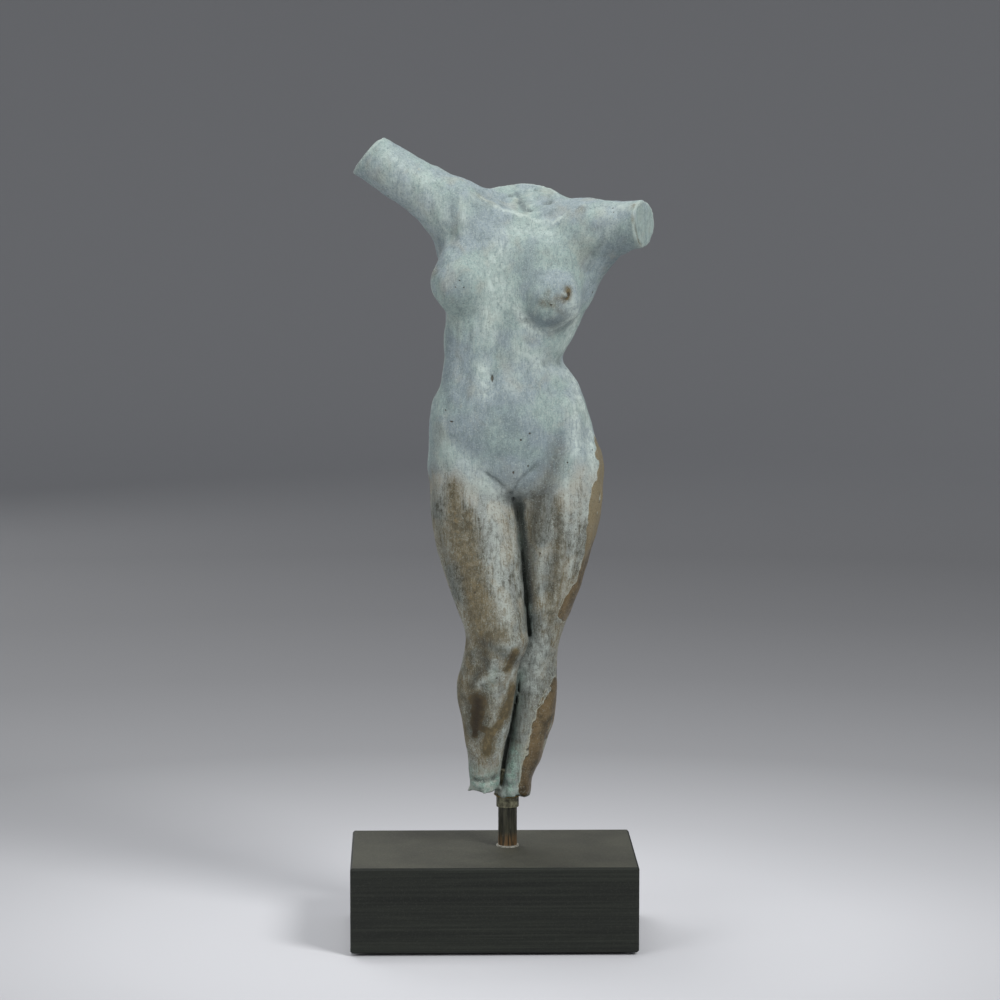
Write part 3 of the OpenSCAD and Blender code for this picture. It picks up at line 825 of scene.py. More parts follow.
# A point with two numbers is (x, height) on the front; one with three is (x, y, height) anywhere.
PALE = [  # thick, chalky patina on the high places, and painted light under the raised arm and down the right flank
    ([(-5, 290), (-7, 282), (-10, 264), (-11, 248)], 5, 0.7),
    ([(4.5, 260), (8.5, 251.5), (15, 247), (24.5, 248.5), (32, 255.5)], 2.3, 1.0),
    ([(6, 238), (16, 231.5), (25, 228.5)], 5, 0.6),
    ([(-14, 229), (-13, 216)], 3.4, 0.8),
    ([(10, 246), (4, 232), (2, 218)], 4, 0.35),
    ([(36, 214), (40, 206), (43.5, 190), (44, 170), (41.5, 153)], 3.6, 1.0),
    ([(33, 207), (35.5, 196), (34.5, 186)], 4.2, 0.9),
    ([(-32, 187), (-25.5, 179.5), (-18, 176)], 5, 0.5),
    ([(-21, 173), (-12.5, 167), (-5, 161)], 2.6, 0.7),
    ([(-9, 155), (-6, 139), (-5, 123), (-3, 107), (-1, 87)], 4.0, 0.6),
    ([(30, 170), (30, 148), (27, 127), (24, 106), (18, 91)], 1.1, 0.7),
    ([(35, 160), (34, 138), (32, 119)], 1.0, 0.7),
    ([(19, 136), (16, 117), (19, 101)], 1.1, 0.6),
    ([(1, 150), (3, 132), (4.5, 112)], 1.2, 0.5),
    ([(-3, 104), (0, 92), (1, 84)], 1.5, 0.8),
    ([(-1.5, 104), (0, 96), (-0.4, 89)], 1.3, 0.9),
    ([(-7.5, 76), (-9.5, 71), (-9, 67), (-12.6, 65.6), (-16, 62.5)], 1.2, 1.0),
    ([(-6, 70), (-3.5, 67), (-6, 62), (-8, 56)], 1.7, 0.5),
    ([(2.8, 70), (-1, 64), (-2, 56)], 0.9, 0.8),
    ([(-7, 60), (-8, 44), (-11, 28)], 2.4, 0.5),
    ([(2.5, 62), (-1, 46), (-4, 30), (-5, 14)], 1.0, 0.6),
    ([(13, 80), (15, 70), (12, 62)], 3.8, 0.95),
    ([(10, 78), (8, 68), (13, 60)], 3.2, 0.85),
    ([(19, 86), (20, 78)], 1.6, 0.9),
    ([(10, 52), (7, 33), (4.5, 17)], 2.2, 0.35),
    ([(-17.5, 318.5), (-8.6, 313), (-4, 310), (6.8, 307.4), (14.4, 304), (23, 303.4), (28, 306.5)], 1.1, 0.8),
    ([(-64, 338), (-51, 329.5), (-40, 325)], 4, 0.5),
    # painted light on the underside of the raised arm
    ([(-62, 325), (-50, 316), (-40, 305)], 5, 0.55),
    ([(54, 303), (47, 292), (41, 283)], 2.0, 0.6),
    ([(-35, 303), (-31.5, 292)], 2.4, 0.5),
    ([(-3, 298), (10, 301), (22, 297)], 4, 0.45),
    ([(-10, 274), (-6, 261), (-1, 266), (-8, 282)], 3.4, 0.6),
    ([(-44, 324), (-37, 314), (-33, 307)], 3.6, 0.5),
    ([(-23.5, 313), (-23, 300)], 2.2, 0.6),
    # painted highlight down the right flank
    ([(33, 262), (34, 251), (31, 239), (31, 228), (36, 217)], 4.2, 0.9),
    ([(60, 313), (48, 308)], 3.5, 0.4),
    ([(-13, 8), (-8, 5)], 4, 0.5),
    ([(-20, 6), (-16, 4.8), (-10, 5.2), (-5.5, 7)], 1.1, 1.0),
    ([(-1, 3), (3, 1.5), (6, 3)], 1.2, 0.8),
    ([(20, 36, 170), (14, 34, 190)], 8, 0.4),
    ([(-16, 36, 172), (-8, 34, 190)], 8, 0.4),
    ([(-16, 27, 292), (-12, 27, 276)], 6, 0.4),
    ([(28, 27, 290), (24, 27, 274)], 6, 0.4),
    ([(14, 24, 262), (12, 22, 230)], 3, 0.4),
    ([(-1, 24, 262), (-2, 22, 230)], 3, 0.4),
]
SHADE = [  # thin, blue-grey patina in the low places, and painted shade under the right breast, in the crevices of the right stub's rim and along the slits and gaps between the legs
    ([(-0.5, 204), (0.5, 199)], 7.5, 0.9),
    ([(-16, 192), (-8, 184), (2, 183), (10, 190)], 7, 0.6),
    # painted shadow under the right breast
    ([(12, 256), (17, 252.5), (26, 253.5), (32, 259)], 3.4, 0.9),
    ([(10, 290), (8.7, 282)], 4.2, 0.6),
    ([(12, 276), (12.5, 265)], 4.2, 0.55),
    ([(33, 298), (43, 301), (50, 302)], 4.0, 0.4),
    ([(-15, 314), (-11, 306)], 4.0, 0.35),
    ([(-25, 274), (-27, 268)], 4.6, 0.5),
    ([(-31, 248), (-32, 227), (-31, 211)], 4, 0.6),
    ([(-23, 245), (-22, 222), (-25, 202)], 2.6, 0.5),
    ([(-3, 247), (-1, 236), (2, 228)], 3.0, 0.45),
    ([(-16.2, 54), (-16.6, 46), (-17.4, 37)], 4.2, 1.2),
    ([(-16, 81), (-12.5, 76), (-11, 72)], 2.6, 1.0),
    ([(-13, 71), (-17, 68), (-19, 62)], 2.2, 0.9),
    ([(-14, 86), (-7, 83), (0, 78)], 2.8, 0.9),
    ([(-6, 66), (-4, 60)], 1.5, 0.6),
    ([(26, 185), (22, 174), (18, 164), (14, 150), (12, 132), (13, 114)], 4.8, 0.75),
    ([(6, 166), (12.6, 172.8), (19.2, 180.5), (25.7, 189.3)], 5.0, 0.85),
    ([(7, 76), (8.5, 69), (8, 60)], 1.7, 1.0),
    ([(11.8, 71), (14.5, 74.5)], 1.2, 1.0),
    ([(19, 75), (20.5, 80)], 1.0, 0.8),
    # painted shade in the crevices along the rim of the right leg's stub
    ([(-20, 12), (-18.8, 7.9), (-15.1, 6), (-10.7, 9.4), (-5.9, 10.8)], 0.9, 1.6),
    ([(-6.2, 10), (-5.7, 7.8)], 0.9, 1.6),
    ([(-1.5, 11), (0, 8.4), (2.4, 6.5)], 1.5, 1.3),
    ([(2, 14), (4, 11)], 1.0, 1.2),
    ([(26, 150), (25, 132), (20, 114)], 4.5, 0.45),
    # painted shade beside the top of the slit between the thighs
    ([(5.5, 160), (7.5, 147), (9.5, 134)], 3.0, 0.9),
    ([(22, 166), (20, 150), (18, 136)], 3.0, 0.6),
    ([(15, -6, 20), (12, -6, 10), (9, -6, 2)], 4.5, 0.5),
    ([(-2, 175), (3, 169)], 4, 0.6),
    ([(-39, 195), (-40, 174), (-38, 152), (-33, 130), (-27, 108)], 4, 0.6),
    ([(-37, 287), (-33, 297)], 4, 0.35),
    ([(48, 294), (43, 283)], 3, 0.35),
    ([(60, 296), (50, 289)], 4, 0.4),
    ([(-29, 316), (-29.5, 304)], 2.6, 0.5),
    ([(4, 325), (4.6, 318), (6.6, 313), (10.5, 309)], 1.1, 0.8),
    ([(16, 320), (20, 311)], 1.3, 0.25),
    ([(61, 313), (60.5, 306), (63, 295)], 2.0, 0.5),
    ([(-9, 172), (-2.5, 166), (1.5, 163)], 0.7, 0.5),
    ([(9, 173.5), (5, 169), (2, 164)], 0.7, 0.5),
    # painted shade: along the slit between the thighs, on the rear thigh beside it, and in the gap between
    # the calves
    ([(2, 163), (5.6, 139), (8, 115), (10, 90)], 1.6, 0.9),
    ([(6.5, 156), (9.5, 134), (10.8, 113), (11.4, 97), (11.4, 85)], 2.8, 1.45),
    ([(7.5, 105), (9, 95), (11, 84)], 2.2, 0.5),
    ([(6, 70), (4, 52), (1, 34), (-2, 14)], 1.5, 1.3),
    ([(-13, 62), (-15, 70)], 2, 0.6),
    ([(10, 62), (7.5, 50), (4.5, 30)], 4, 0.8),
    ([(6.5, 26, 300), (6.5, 23, 260), (6, 19, 220), (5, 20, 204)], 5, 0.45),
    ([(3.5, 24, 190), (3.4, 26, 170), (3.3, 22, 154)], 2.5, 0.6),
    ([(8, 22, 150), (22, 28, 146), (38, 22, 151)], 2.5, 0.5),
    ([(-1, 22, 152), (-14, 27, 148), (-30, 22, 155)], 2.5, 0.5),
]
BROWN = [  # metal that glows through where hands have rubbed it
    ([(30.4, 269.5), (29.6, 265.5)], 1.9, 1.35),
    ([(28, 264.5), (24.5, 265.5)], 1.9, 0.9),
    ([(22.5, 262.3), (17.6, 263.1)], 2.2, 0.85),
    ([(20, 268.5), (19, 265)], 1.6, 0.5),
    ([(25, 260), (28, 257.5)], 2.0, 0.4),
    ([(-38, -15, 278)], 2.6, 0.9),
    ([(-17, 54.5), (-15.4, 53.5), (-16.3, 47)], 4.4, 1.8),
    ([(-16.3, 47), (-17, 41)], 3.5, 1.8),
    ([(-17, 41), (-17.6, 35)], 1.8, 1.8),
    ([(1.8, 59), (0.2, 53), (-2.2, 46)], 3.4, 1.8),
    ([(-13, 38.5), (-9, 37), (-4.5, 41.5)], 2.4, 1.7),
    ([(-9.5, 37), (-11, 31), (-11.3, 26)], 2.8, 1.8),
    ([(3.2, 80), (1.2, 77), (-0.6, 72)], 2.3, 1.8),
    ([(-29, 166), (-28, 151), (-25, 135), (-20, 114), (-16, 93), (-13, 80)], 4.4, 0.9),
    ([(-22, 151), (-19, 128), (-15, 107)], 4.2, 0.85),
    ([(-14, 108), (-6, 87)], 4.5, 0.5),
    ([(-22, 84), (-21, 70)], 3.6, 0.8),
    ([(-15, 87), (-8, 90), (-3, 90)], 4.2, 0.9),
    ([(-13, 80), (-14, 70)], 4.0, 0.7),
    ([(-20, 62), (-19, 44)], 4.0, 0.8),
    ([(26, 186), (22, 174), (16, 160), (13, 142)], 4.5, 0.55),
    ([(-9.5, 54), (-11, 40), (-12.5, 24)], 3.0, 0.6),
    ([(14, 164), (11.5, 143), (11, 122), (13, 106)], 2.2, 0.6),
    ([(25, 159), (27, 138), (25, 117), (21, 96)], 2.6, 0.65),
    ([(-15, 316), (-9, 313)], 2.4, 0.4),
    ([(37.8, 311)], 2, 0.6),
    ([(64.5, 313), (63.6, 306), (66, 296), (68.5, 292.5)], 0.7, 1.0),
    ([(-26, 66), (-25, 48), (-22, 34)], 3.6, 0.8),
    ([(-40, 8, 172), (-38, 8, 140), (-30, 6, 108)], 8, 0.6),
    ([(24, 24, 140), (20, 22, 110), (14, 16, 84)], 7, 0.7),
    ([(-15, 24, 140), (-12, 20, 110), (-8, 2, 84)], 7, 0.7),
    ([(-13, 6, 62), (-13, 3, 40)], 7, 0.8),
    ([(30, 38, 172)], 7, 0.5),
    ([(-24, 38, 176)], 7, 0.5),
]
BARE = [  # patches where the patina has come off, with sharp edges
    ([(49.8, 187), (49, 176), (48, 168), (45, 158), (43.2, 144), (40.6, 121), (37, 112), (32, 105),
      (29.5, 99)], 3.2, 1.2),
    ([(27, -3, 58), (23.5, -6, 49), (20, -7, 43), (16, -7, 32), (14.5, -6, 20), (10.8, -6, 6)], 5.5, 1),
    ([(25, 4, 50), (20, 5, 28), (13, 5, 6)], 6.0, 1),
    ([(14, 15, 60), (17, 14, 36)], 5.5, 1),
    ([(52, 4, 189), (51, 1, 172), (47.5, -1, 155), (45, -2, 140), (41, -3, 122), (36.5, -4, 110),
      (31, -5, 101)], 6.0, 1.3),
    ([(46, 16, 176), (40, 17, 146), (36, 12, 124)], 6, 1),
    ([(-34, 18, 152), (-28, 16, 126)], 4.5, 1),
    ([(-17, 10, 60), (-11, 9, 36)], 4.5, 1),
]
KEPT = [  # a thread of patina left on the metal
    ([(12, 46.5), (18.5, 50.3), (19.4, 53.4), (22.2, 57.6)], 0.8, 0.75),
]
VERDIGRIS = [  # bright green
    ([(-18, 11), (-12, 8), (-6, 9)], 5.5, 1.0),
    ([(3, 24), (1.5, 12), (2, 3)], 4.2, 1.0),
    ([(6, 139), (8, 115), (10, 92)], 1.6, 0.6),
    ([(7, 66), (4, 44), (1, 24)], 2.4, 0.5),
    ([(-8, 70), (-10, 62)], 2.0, 0.4),
    ([(-8, 0, 6), (-14, 2, 6)], 6, 0.7),
    ([(4, 8, 4)], 6, 0.5),
]
# Small dark marks on the front: x, height, half width, half height
MARKS = [
    (-8.8, 223.2, 0.8, 2.1), (30.6, 178.9, 0.5, 0.5), (-29.9, 200.6, 1.0, 0.5), (-33.0, 206.4, 0.45, 0.45),
    (6.0, 191.4, 0.6, 0.6), (10.7, 194.7, 0.55, 0.55), (-6.4, 66.5, 0.5, 0.5), (2.2, 174.2, 0.6, 0.8),
    (30.4, 267.2, 0.9, 1.4), (21.5, 261.9, 0.7, 0.45), (-25.8, 274.4, 0.4, 0.4), (-23.6, 270.8, 0.4, 0.4),
    (-27.9, 271.0, 0.4, 0.4), (14.5, 147.0, 0.4, 0.7), (16.5, 131.0, 0.4, 0.6),
]
# By height: how much of the metal the patina covers, and how bright it is there
COVER = [(-6, 0.6, 0.7), (8, 0.62, 0.6), (20, 0.4, 0.3), (50, 0.36, 0.15), (75, 0.4, 0.25), (90, 0.36, 0.15),
         (110, 0.38, 0.5), (130, 0.42, 0.8), (150, 0.5, 0.9), (165, 0.72, 1), (185, 0.95, 1), (200, 1, 1),
         (360, 1, 1)]


def painted(clay, front, spots, points, soft):
    """The strongest of some spots at each point: full on its line, and fading past its radius."""
    value = np.zeros(len(points), dtype=np.float32)
    x, y, z = points.T
    for line, radius, strength in spots:
        line = clay.on_face(front, line) if len(line[0]) == 2 else line
        away = line_distance(np.array(line, dtype=np.float32), x, y, z)
        inside = np.clip((radius * (1 + soft) - away) / (2 * soft * radius), 0, 1)
        value = np.maximum(value, strength * inside)
    return value


def hollowness(clay, points, reach):
    """Above 0 in hollows and below 0 on ridges, at the scale of the reach in millimetres."""
    value = 0
    for axis in range(3):
        for side in (-1, 1):
            step = np.zeros(3, dtype=np.float32)
            step[axis] = side * reach / clay.step
            value = value - sample(clay.field, points + step) / 6
    return value / reach


def paint_masks(mesh, clay, front, points):
    place = clay.low + points * clay.step
    # on the back, the patina stops at an uneven height
    wander = sample(soft_noise(clay.count, clay.step, (12, 12, 20), SEED + 3), points)
    height = place[:, 2] + 18 * wander * np.clip((place[:, 1] + 8) / 14, 0, 1)
    heights, cover, brightness = zip(*COVER)
    cover = np.interp(height, heights, cover)
    # the outer sides of the legs are barer
    outer = np.clip((np.abs(place[:, 0] - 3) - 26) / 16, 0, 1) * np.clip((190 - height) / 20, 0, 1)
    cover = cover - 0.2 * outer
    layers = {
        # the pale and shade masks carry painted light and painted shade as well as patina
        "patina": (cover, painted(clay, front, PALE, place, 0.9), painted(clay, front, SHADE, place, 0.9)),
        "metal": (painted(clay, front, BROWN, place, 0.8),
                  painted(clay, front, BARE, place, 0.7) - painted(clay, front, KEPT, place, 0.7),
                  painted(clay, front, VERDIGRIS, place, 0.9)),
        "relief": (0.5 + hollowness(clay, points, 1.5), 0.5 + hollowness(clay, points, 4.5),
                   np.interp(height, heights, brightness)),
    }
    for name, values in layers.items():
        layer = mesh.attributes.new(name, "FLOAT_COLOR", "POINT")
        colours = np.stack([*values, np.ones(len(points))], 1).astype(np.float32)
        layer.data.foreach_set("color", colours.ravel())


class Patina(Recipe):
    """The figure's coat. Each layer is laid over the colour that is there before it."""

    def __init__(self):
        super().__init__("patina", srgb(150, 162, 158), 0.75)
        self.cover, self.pale, self.shade = self.masks("patina")
        self.brown, self.bare, self.green = self.masks("metal")
        self.fine_hollow, self.wide_hollow, self.brightness = self.masks("relief")
        self.streaks = self.noise((1.1, 1.1, 9), 4, 0.6, 0.4)
        self.specks = self.noise(0.75, 2, 0.6)
        self.mottle = self.noise(3.2, 4, 0.65)
        self.clouds = self.noise((14, 14, 18), 3, 0.55, 0.5)
        self.drift = self.noise(22, 2)
        self.grain = self.plus(self.swing(self.streaks, 1.1), self.swing(self.mottle, 0.9))
        self.colour = self.metal_under_all()

    def lay(self, amount, colour):
        self.colour = self.mix(amount, self.colour, colour)

    def by_cover(self, legs, torso):
        """One colour where the coat is thin, as on the legs, and another where it is thick."""
        return self.mix(self.ramp(self.cover, 0.5, 0.9), legs, torso)

    def metal_under_all(self):
        warm = self.tones(self.mottle, 0.35, 0.65, (72, 70, 58), (106, 103, 88))
        return self.mix(self.ramp(self.clouds, 0.4, 0.62, 0.0, 0.8), warm, srgb(120, 108, 80))

    def lay_skin(self):
        """The patina: bluish and greenish clouds, thinner and greyer on the legs."""
        low = self.tones(self.clouds, 0.4, 0.62, (142, 147, 143), (166, 164, 152))
        low = self.mix(self.brightness, self.mix(0.55, low, srgb(76, 80, 76)), low)
        top = self.tones(self.drift, 0.42, 0.58, (144, 158, 163), (152, 171, 166))
        brushed = self.noise((2.4, 2.4, 5.5), 5, 0.65, 1.0)
        top = self.mix(self.ramp(brushed, 0.34, 0.62), self.mix(0.6, top, srgb(108, 124, 126)), top)
        top = self.mix(self.ramp(self.clouds, 0.52, 0.7, 0.0, 0.4), top, srgb(154, 154, 142))
        kept = self.plus(self.cover, self.grain)
        kept = self.minus(kept, self.times(self.brown, 0.45))
        kept = self.plus(kept, self.times(self.pale, 0.25))
        self.lay(self.ramp(kept, 0.12, 0.72), self.mix(self.ramp(self.cover, 0.55, 0.95), low, top))
        self.lay(self.times(self.lines(self.streaks, 0.5, 0.028), 0.5), srgb(174, 182, 174))

    def lay_tones(self):
        """Thin grey places and painted shade, the darkest of it painted shadow as in the slits between the
        legs; chalky places and painted highlights; rubbed ridges and verdigris.
        """
        dim = self.times(self.shade, self.ramp(self.mottle, 0.25, 0.6, 0.45, 0.9))
        # painted shadow: where the shade mask passes 1, as in the slits between the legs, the colour darkens
        # further
        grey = self.tones(self.shade, 1.0, 1.4, (74, 80, 76), (44, 52, 48))
        self.lay(dim, self.by_cover(grey, srgb(112, 126, 132)))
        crumbs = self.ramp(self.plus(self.mottle, self.grain), 0.3, 0.75, 0.25, 0.95)
        self.lay(self.times(self.pale, crumbs), self.by_cover(srgb(178, 186, 178), srgb(200, 213, 206)))
        ridge = self.ramp(self.fine_hollow, 0.47, 0.36)
        rubbed = self.times(ridge, self.ramp(self.cover, 0.4, 0.9, 0.2, 0.4))
        rubbed = self.times(rubbed, self.ramp(self.fine_hollow, 0.2, 0.32, 0.35, 1.0))
        self.lay(rubbed, srgb(178, 190, 182))
        verdigris = self.tones(self.specks, 0.4, 0.65, (86, 112, 102), (158, 184, 170))
        self.lay(self.times(self.green, self.ramp(self.mottle, 0.35, 0.6, 0.2, 0.95)), verdigris)

    def torn_edge(self):
        """A value that passes 0.44 where the patina has come off, along a torn edge."""
        return self.plus(self.bare, self.swing(self.noise((6, 6, 9), 2, 0.5), 1.3))

    def bare_metal(self):
        metal = self.tones(self.mottle, 0.35, 0.62, (74, 64, 44), (112, 97, 70))
        metal = self.mix(self.ramp(self.clouds, 0.42, 0.6, 0.0, 0.7), metal, srgb(120, 101, 70))
        metal = self.mix(self.ramp(self.brightness, 0.6, 1.0), metal, srgb(150, 138, 110))
        return self.mix(self.times(self.shade, 0.9), metal, srgb(60, 52, 38))

    def darken_hollows(self):
        """Darker in the fine hollows and in the wide ones."""
        hollow_tone = self.tones(self.cover, 0.5, 0.95, (56, 60, 53), (92, 104, 104))
        fine = self.ramp(self.fine_hollow, self.ramp(self.cover, 0.4, 0.95, 0.56, 0.52), 0.82)
        self.lay(self.times(fine, 0.75), hollow_tone)
        self.lay(self.times(self.ramp(self.wide_hollow, 0.52, 0.75), 0.6), hollow_tone)

    def worn_brown(self):
        glow = self.tones(self.mottle, 0.4, 0.7, (84, 75, 52), (114, 101, 72))
        return self.mix(self.times(self.shade, 0.85), glow, srgb(42, 32, 17))

    def lay_scratches(self):
        """Dark scratches along the limbs, and pale ones that curl."""
        scored = self.times(self.lines(self.streaks, 0.4, 0.02), self.ramp(self.cover, 0.5, 0.9, 0.45, 0.15))
        self.lay(scored, srgb(60, 64, 56))
        curls = self.lines(self.noise((2.6, 2.6, 4.4), 2, 0.6, 1.4), 0.5, 0.036)
        curls = self.times(curls, self.ramp(self.cover, 0.45, 0.9, 0.7, 0.25))
        curls = self.times(curls, self.ramp(self.drift, 0.35, 0.62, 0.15, 1.0))
        curls = self.times(curls, self.ramp(self.math("MAXIMUM", self.brown, self.shade), 0.1, 0.8, 1.0, 0.2))
        self.lay(curls, srgb(170, 178, 170))

    def lay_specks(self, leaf):
        """Dark dust, and pale flecks that keep off the smooth brown patches."""
        dust = self.times(self.ramp(self.specks, 0.56, 0.68), self.ramp(self.cover, 0.5, 0.9, 0.45, 0.35))
        self.lay(dust, self.by_cover(srgb(56, 60, 54), srgb(80, 92, 92)))
        flecks = self.times(self.ramp(self.specks, 0.44, 0.3), self.ramp(self.cover, 0.4, 0.9, 0.2, 0.4))
        self.lay(self.minus(flecks, leaf), srgb(184, 196, 190))

    def lay_pits(self):
        """A few casting pits."""
        cells = self.node("TexVoronoi", feature="F1")
        self.feed(cells.inputs["Vector"], self.scaled((9, 9, 9)))
        cells.inputs["Scale"].default_value = 1.0
        chosen = self.math("GREATER_THAN", self.parts(cells.outputs["Color"])[0], 0.78)
        pits = self.times(self.math("LESS_THAN", cells.outputs["Distance"], 0.07), chosen)
        self.lay(self.times(pits, 0.7), srgb(54, 50, 40))

    def relief(self, stripped, marks):
        """Relief finer than the mesh: grit on the patina, a step down to bare metal, and dents."""
        grit = self.plus(self.times(self.specks, 0.5), self.times(self.mottle, 0.8))
        grit = self.plus(grit, self.times(self.streaks, 0.6))
        grit = self.times(grit, self.ramp(stripped, 0, 1, 1, 0.35))
        grit = self.minus(self.minus(grit, stripped), self.times(marks, 2))
        return self.bump(grit, 0.36)


def patina_material():
    paint = Patina()
    paint.lay_skin()
    paint.lay_tones()
    edge = paint.torn_edge()
    rim = paint.times(paint.ramp(edge, 0.3, 0.42), paint.ramp(edge, 0.42, 0.52, 1.0, 0.0))
    paint.lay(paint.times(rim, 0.5), srgb(168, 168, 150))
    paint.darken_hollows()
    glow = paint.worn_brown()
    blots = paint.noise((1.6, 1.6, 2.6), 3, 0.65)
    worn = paint.times(paint.math("MINIMUM", paint.brown, 1), paint.ramp(blots, 0.34, 0.58, 0.5, 0.9))
    paint.lay(worn, glow)
    paint.lay_scratches()
    # smooth brown patches with crisp edges, then bare metal
    leaf = paint.ramp(paint.plus(paint.brown, paint.swing(paint.mottle, 1.1)), 1.0, 1.12)
    paint.lay(leaf, glow)
    stripped = paint.ramp(edge, 0.44, 0.52)
    paint.lay(stripped, paint.bare_metal())
    paint.lay_specks(leaf)
    paint.lay_pits()
    marks = paint.marks(MARKS, FOOT)
    paint.lay(paint.times(marks, 0.85), srgb(72, 62, 44))
    return paint.set(base_color=paint.colour, roughness=paint.ramp(stripped, 0, 1, 0.82, 0.42),
                     metallic=paint.times(stripped, 0.35), normal=paint.relief(stripped, marks))


def make_figure():
    clay = sculpt_figure()
    mesh, points = mesh_from_clay(clay, "figure")
    paint_masks(mesh, clay, clay.face("front"), points)
    mesh.materials.append(patina_material())
    figure = link("figure", mesh)
    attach(figure, "root")
    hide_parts("figure_casting")


# ---- Materials of the pieces that keep their CAD shape ----

def stone_material():
    """Honed dark stone: saw lines along the sides, and faint clouds on top; the top is painted paler and
    greyer than the sides, as painted light from above.
    """
    paint = Recipe("dark_stone", srgb(46, 48, 45), 0.5)
    upward = paint.parts(paint.node("NewGeometry").outputs["Normal"], "SeparateXYZ")[2]
    painted_top_light = paint.ramp(upward, 0.8, 0.98)
    lines = paint.noise((120, 120, 0.9), 5, 0.7)
    bands = paint.noise((90, 90, 6), 3)
    clouds = paint.noise((38, 26, 20), 4, 0.6)
    grain = paint.noise(0.6, 2, 0.6)
    side = paint.tones(lines, 0.36, 0.68, (26, 29, 25), (42, 45, 39))
    side = paint.mix(paint.ramp(bands, 0.4, 0.62, 0.0, 0.45), side, srgb(20, 22, 20))
    side = paint.mix(paint.ramp(grain, 0.52, 0.7, 0.0, 0.4), side, srgb(54, 57, 50))
    # painted light: the top gets a paler colour than the sides
    top = paint.tones(clouds, 0.3, 0.7, (64, 64, 56), (77, 77, 67))
    top = paint.mix(paint.ramp(grain, 0.52, 0.7, 0.0, 0.6), top, srgb(94, 93, 82))
    top = paint.mix(paint.ramp(grain, 0.48, 0.34, 0.0, 0.5), top, srgb(52, 52, 46))
    height = paint.plus(paint.times(lines, 0.5), paint.times(grain, 0.3))
    paint.shader.inputs["Specular IOR Level"].default_value = 0.25
    return paint.set(base_color=paint.mix(painted_top_light, side, top), normal=paint.bump(height, 0.06),
                     roughness=paint.ramp(clouds, 0.3, 0.7, 0.55, 0.62))


def post_material():
    """Darkened bronze rod with grey-green blots, and warm reddish streaks near its foot: partly bare metal,
    partly a painted warm reflection.
    """
    stone_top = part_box("base_block")[1][2]
    paint = Recipe("post_bronze", srgb(60, 56, 46), 0.4, 0.5)
    level = paint.parts(paint.place, "SeparateXYZ")[2]
    streaks = paint.noise((0.9, 0.9, 14), 3, 0.6)
    blots = paint.noise(3, 3, 0.6)
    colour = paint.tones(streaks, 0.35, 0.65, (42, 42, 35), (76, 75, 62))
    # the warm streaks near the foot are partly bare metal and partly a painted warm reflection
    foot = paint.ramp(level, stone_top + 9 * MM, stone_top + 3 * MM)
    copper_and_reflection = paint.times(foot, paint.ramp(streaks, 0.4, 0.58))
    colour = paint.mix(copper_and_reflection, colour, srgb(122, 96, 66))
    colour = paint.mix(paint.ramp(blots, 0.58, 0.75, 0.0, 0.6), colour, srgb(104, 108, 94))
    return paint.set(base_color=colour, roughness=paint.ramp(blots, 0.35, 0.65, 0.34, 0.55),
                     normal=paint.bump(paint.plus(streaks, blots), 0.05))


def mottled_material(name, dark, light, size, roughness, metallic, depth):
    """Two tones in soft blots, with a little relief."""
    paint = Recipe(name, srgb(*light), roughness, metallic)
    blots = paint.noise(size, 4, 0.65)
    return paint.set(base_color=paint.tones(blots, 0.35, 0.65, dark, light),
                     normal=paint.bump(blots, depth))


def paint_cad_nodes():
    zinc = mottled_material("zinc", (150, 152, 154), (196, 198, 200), 1.4, 0.35, 0.9, 0.02)
    materials = {
        "base_block": stone_material(),
        "mounting_post": post_material(),
        "leg_boss": mottled_material("boss_bronze", (66, 64, 50), (128, 126, 102), 2.2, 0.5, 0.3, 0.12),
        "braze_fillet": mottled_material("braze", (120, 96, 50), (206, 178, 112), 0.9, 0.35, 0.7, 0.06),
        "core_plugs": mottled_material("plug_bronze", (84, 76, 56), (124, 118, 96), 1.2, 0.5, 0.3, 0.08),
        "seat_washer": mottled_material("nylon", (126, 124, 114), (176, 174, 164), 1.6, 0.6, 0, 0.04),
        "clamp_washer": zinc,
        "spring_washer": zinc,
        "fixing_nut": zinc,
    }
    for name, material in materials.items():
        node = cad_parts[name]
        node.data.materials.clear()
        node.data.materials.append(material)


# ---- Felt ----

FELT_CORNER = 8 * MM
# Rings of the felt's rim, from below: how far in, in millimetres, and how high, 0 to 1
FELT_RINGS = ((0.5, 0), (0.05, 0.15), (0, 0.5), (0.05, 0.85), (0.5, 1))


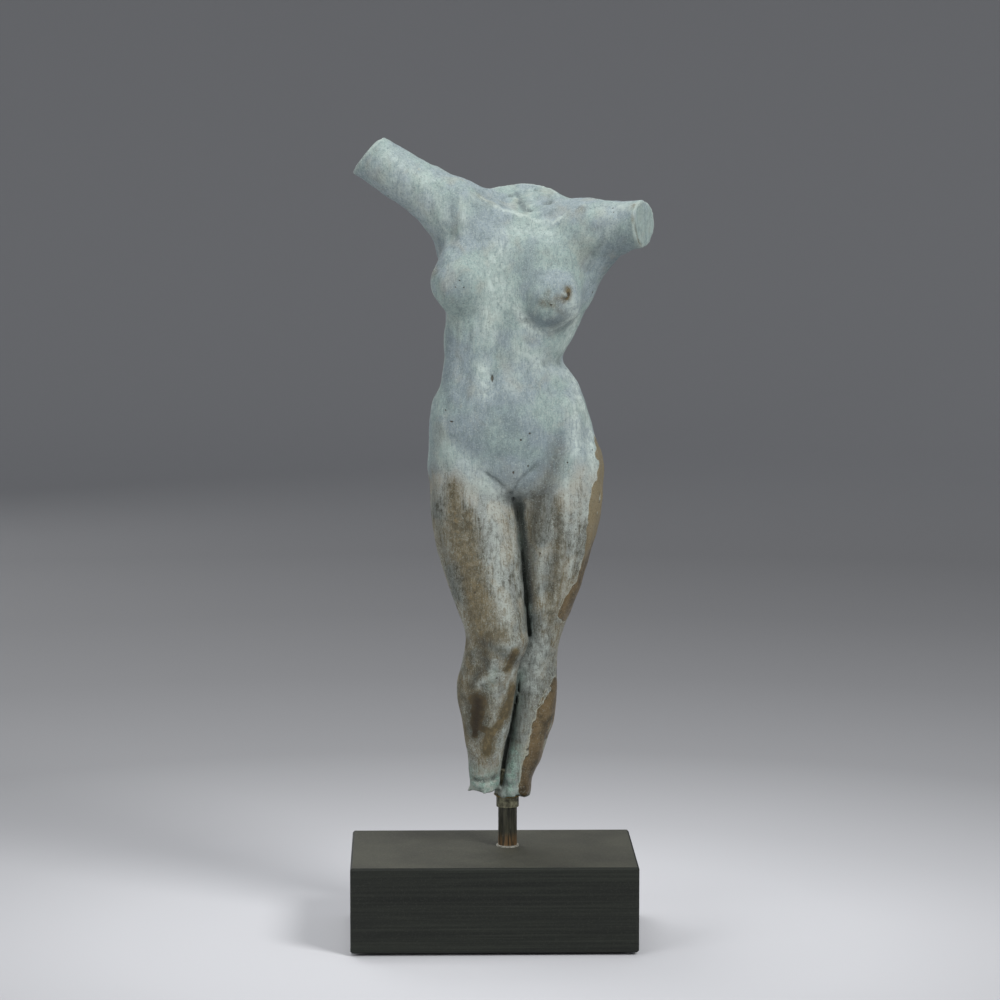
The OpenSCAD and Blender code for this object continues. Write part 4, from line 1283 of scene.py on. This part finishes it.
def rounded_outline(low, high, radius, steps=10):
    """Points a few millimetres apart or closer, round a rectangle with round corners."""
    square = [(high[0], high[1]), (low[0], high[1]), (low[0], low[1]), (high[0], low[1])]
    corners = []
    for quarter, (x, y) in enumerate(square):
        centre = (x - math.copysign(radius, x), y - math.copysign(radius, y))
        for k in range(steps + 1):
            turn = (quarter + k / steps) * math.pi / 2
            corners.append((centre[0] + radius * math.cos(turn), centre[1] + radius * math.sin(turn)))
    dense = []
    for (ax, ay), (bx, by) in zip(corners, corners[1:] + corners[:1]):
        pieces = max(1, int(math.hypot(bx - ax, by - ay) / (2 * MM)))
        dense += [(ax + (bx - ax) * k / pieces, ay + (by - ay) * k / pieces) for k in range(pieces)]
    return dense


def felt_mesh(low, high):
    """A sheet with rounded corners and a fuzzy, uneven rim."""
    work = bmesh.new()
    outline = rounded_outline(low, high, FELT_CORNER)
    thick = high[2] - low[2]
    rings = []
    for inset, level in FELT_RINGS:
        ring = []
        for x, y in outline:
            fuzz = 1 - (inset + 0.25 * abs(noise.noise((x * 900, y * 900, level)))) * MM / math.hypot(x, y)
            ring.append(work.verts.new((x * fuzz, y * fuzz, low[2] + level * thick)))
        rings.append(ring)
    for lower, upper in zip(rings, rings[1:]):
        for k in range(len(lower)):
            j = (k + 1) % len(lower)
            work.faces.new((lower[k], lower[j], upper[j], upper[k]))
    work.faces.new(rings[-1])
    work.faces.new(rings[0][::-1])
    mesh = bpy.data.meshes.new("felt")
    work.to_mesh(mesh)
    work.free()
    mesh.shade_smooth()
    return mesh


def felt_material():
    paint = Recipe("felt", srgb(34, 34, 35), 1.0)
    fibres = paint.noise((0.35, 0.35, 0.2), 3, 0.7, 1.5)
    paint.shader.inputs["Sheen Weight"].default_value = 0.4
    return paint.set(base_color=paint.mix(fibres, srgb(20, 20, 21), srgb(52, 52, 54)),
                     normal=paint.bump(fibres, 0.15))


def make_felt():
    low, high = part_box("felt_pad")
    mesh = felt_mesh(low, high)
    mesh.materials.append(felt_material())
    felt = link("felt", mesh)
    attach(felt, "root")
    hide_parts("felt_pad")


make_camera()
make_floor()
make_lights()
make_figure()
make_felt()
paint_cad_nodes()
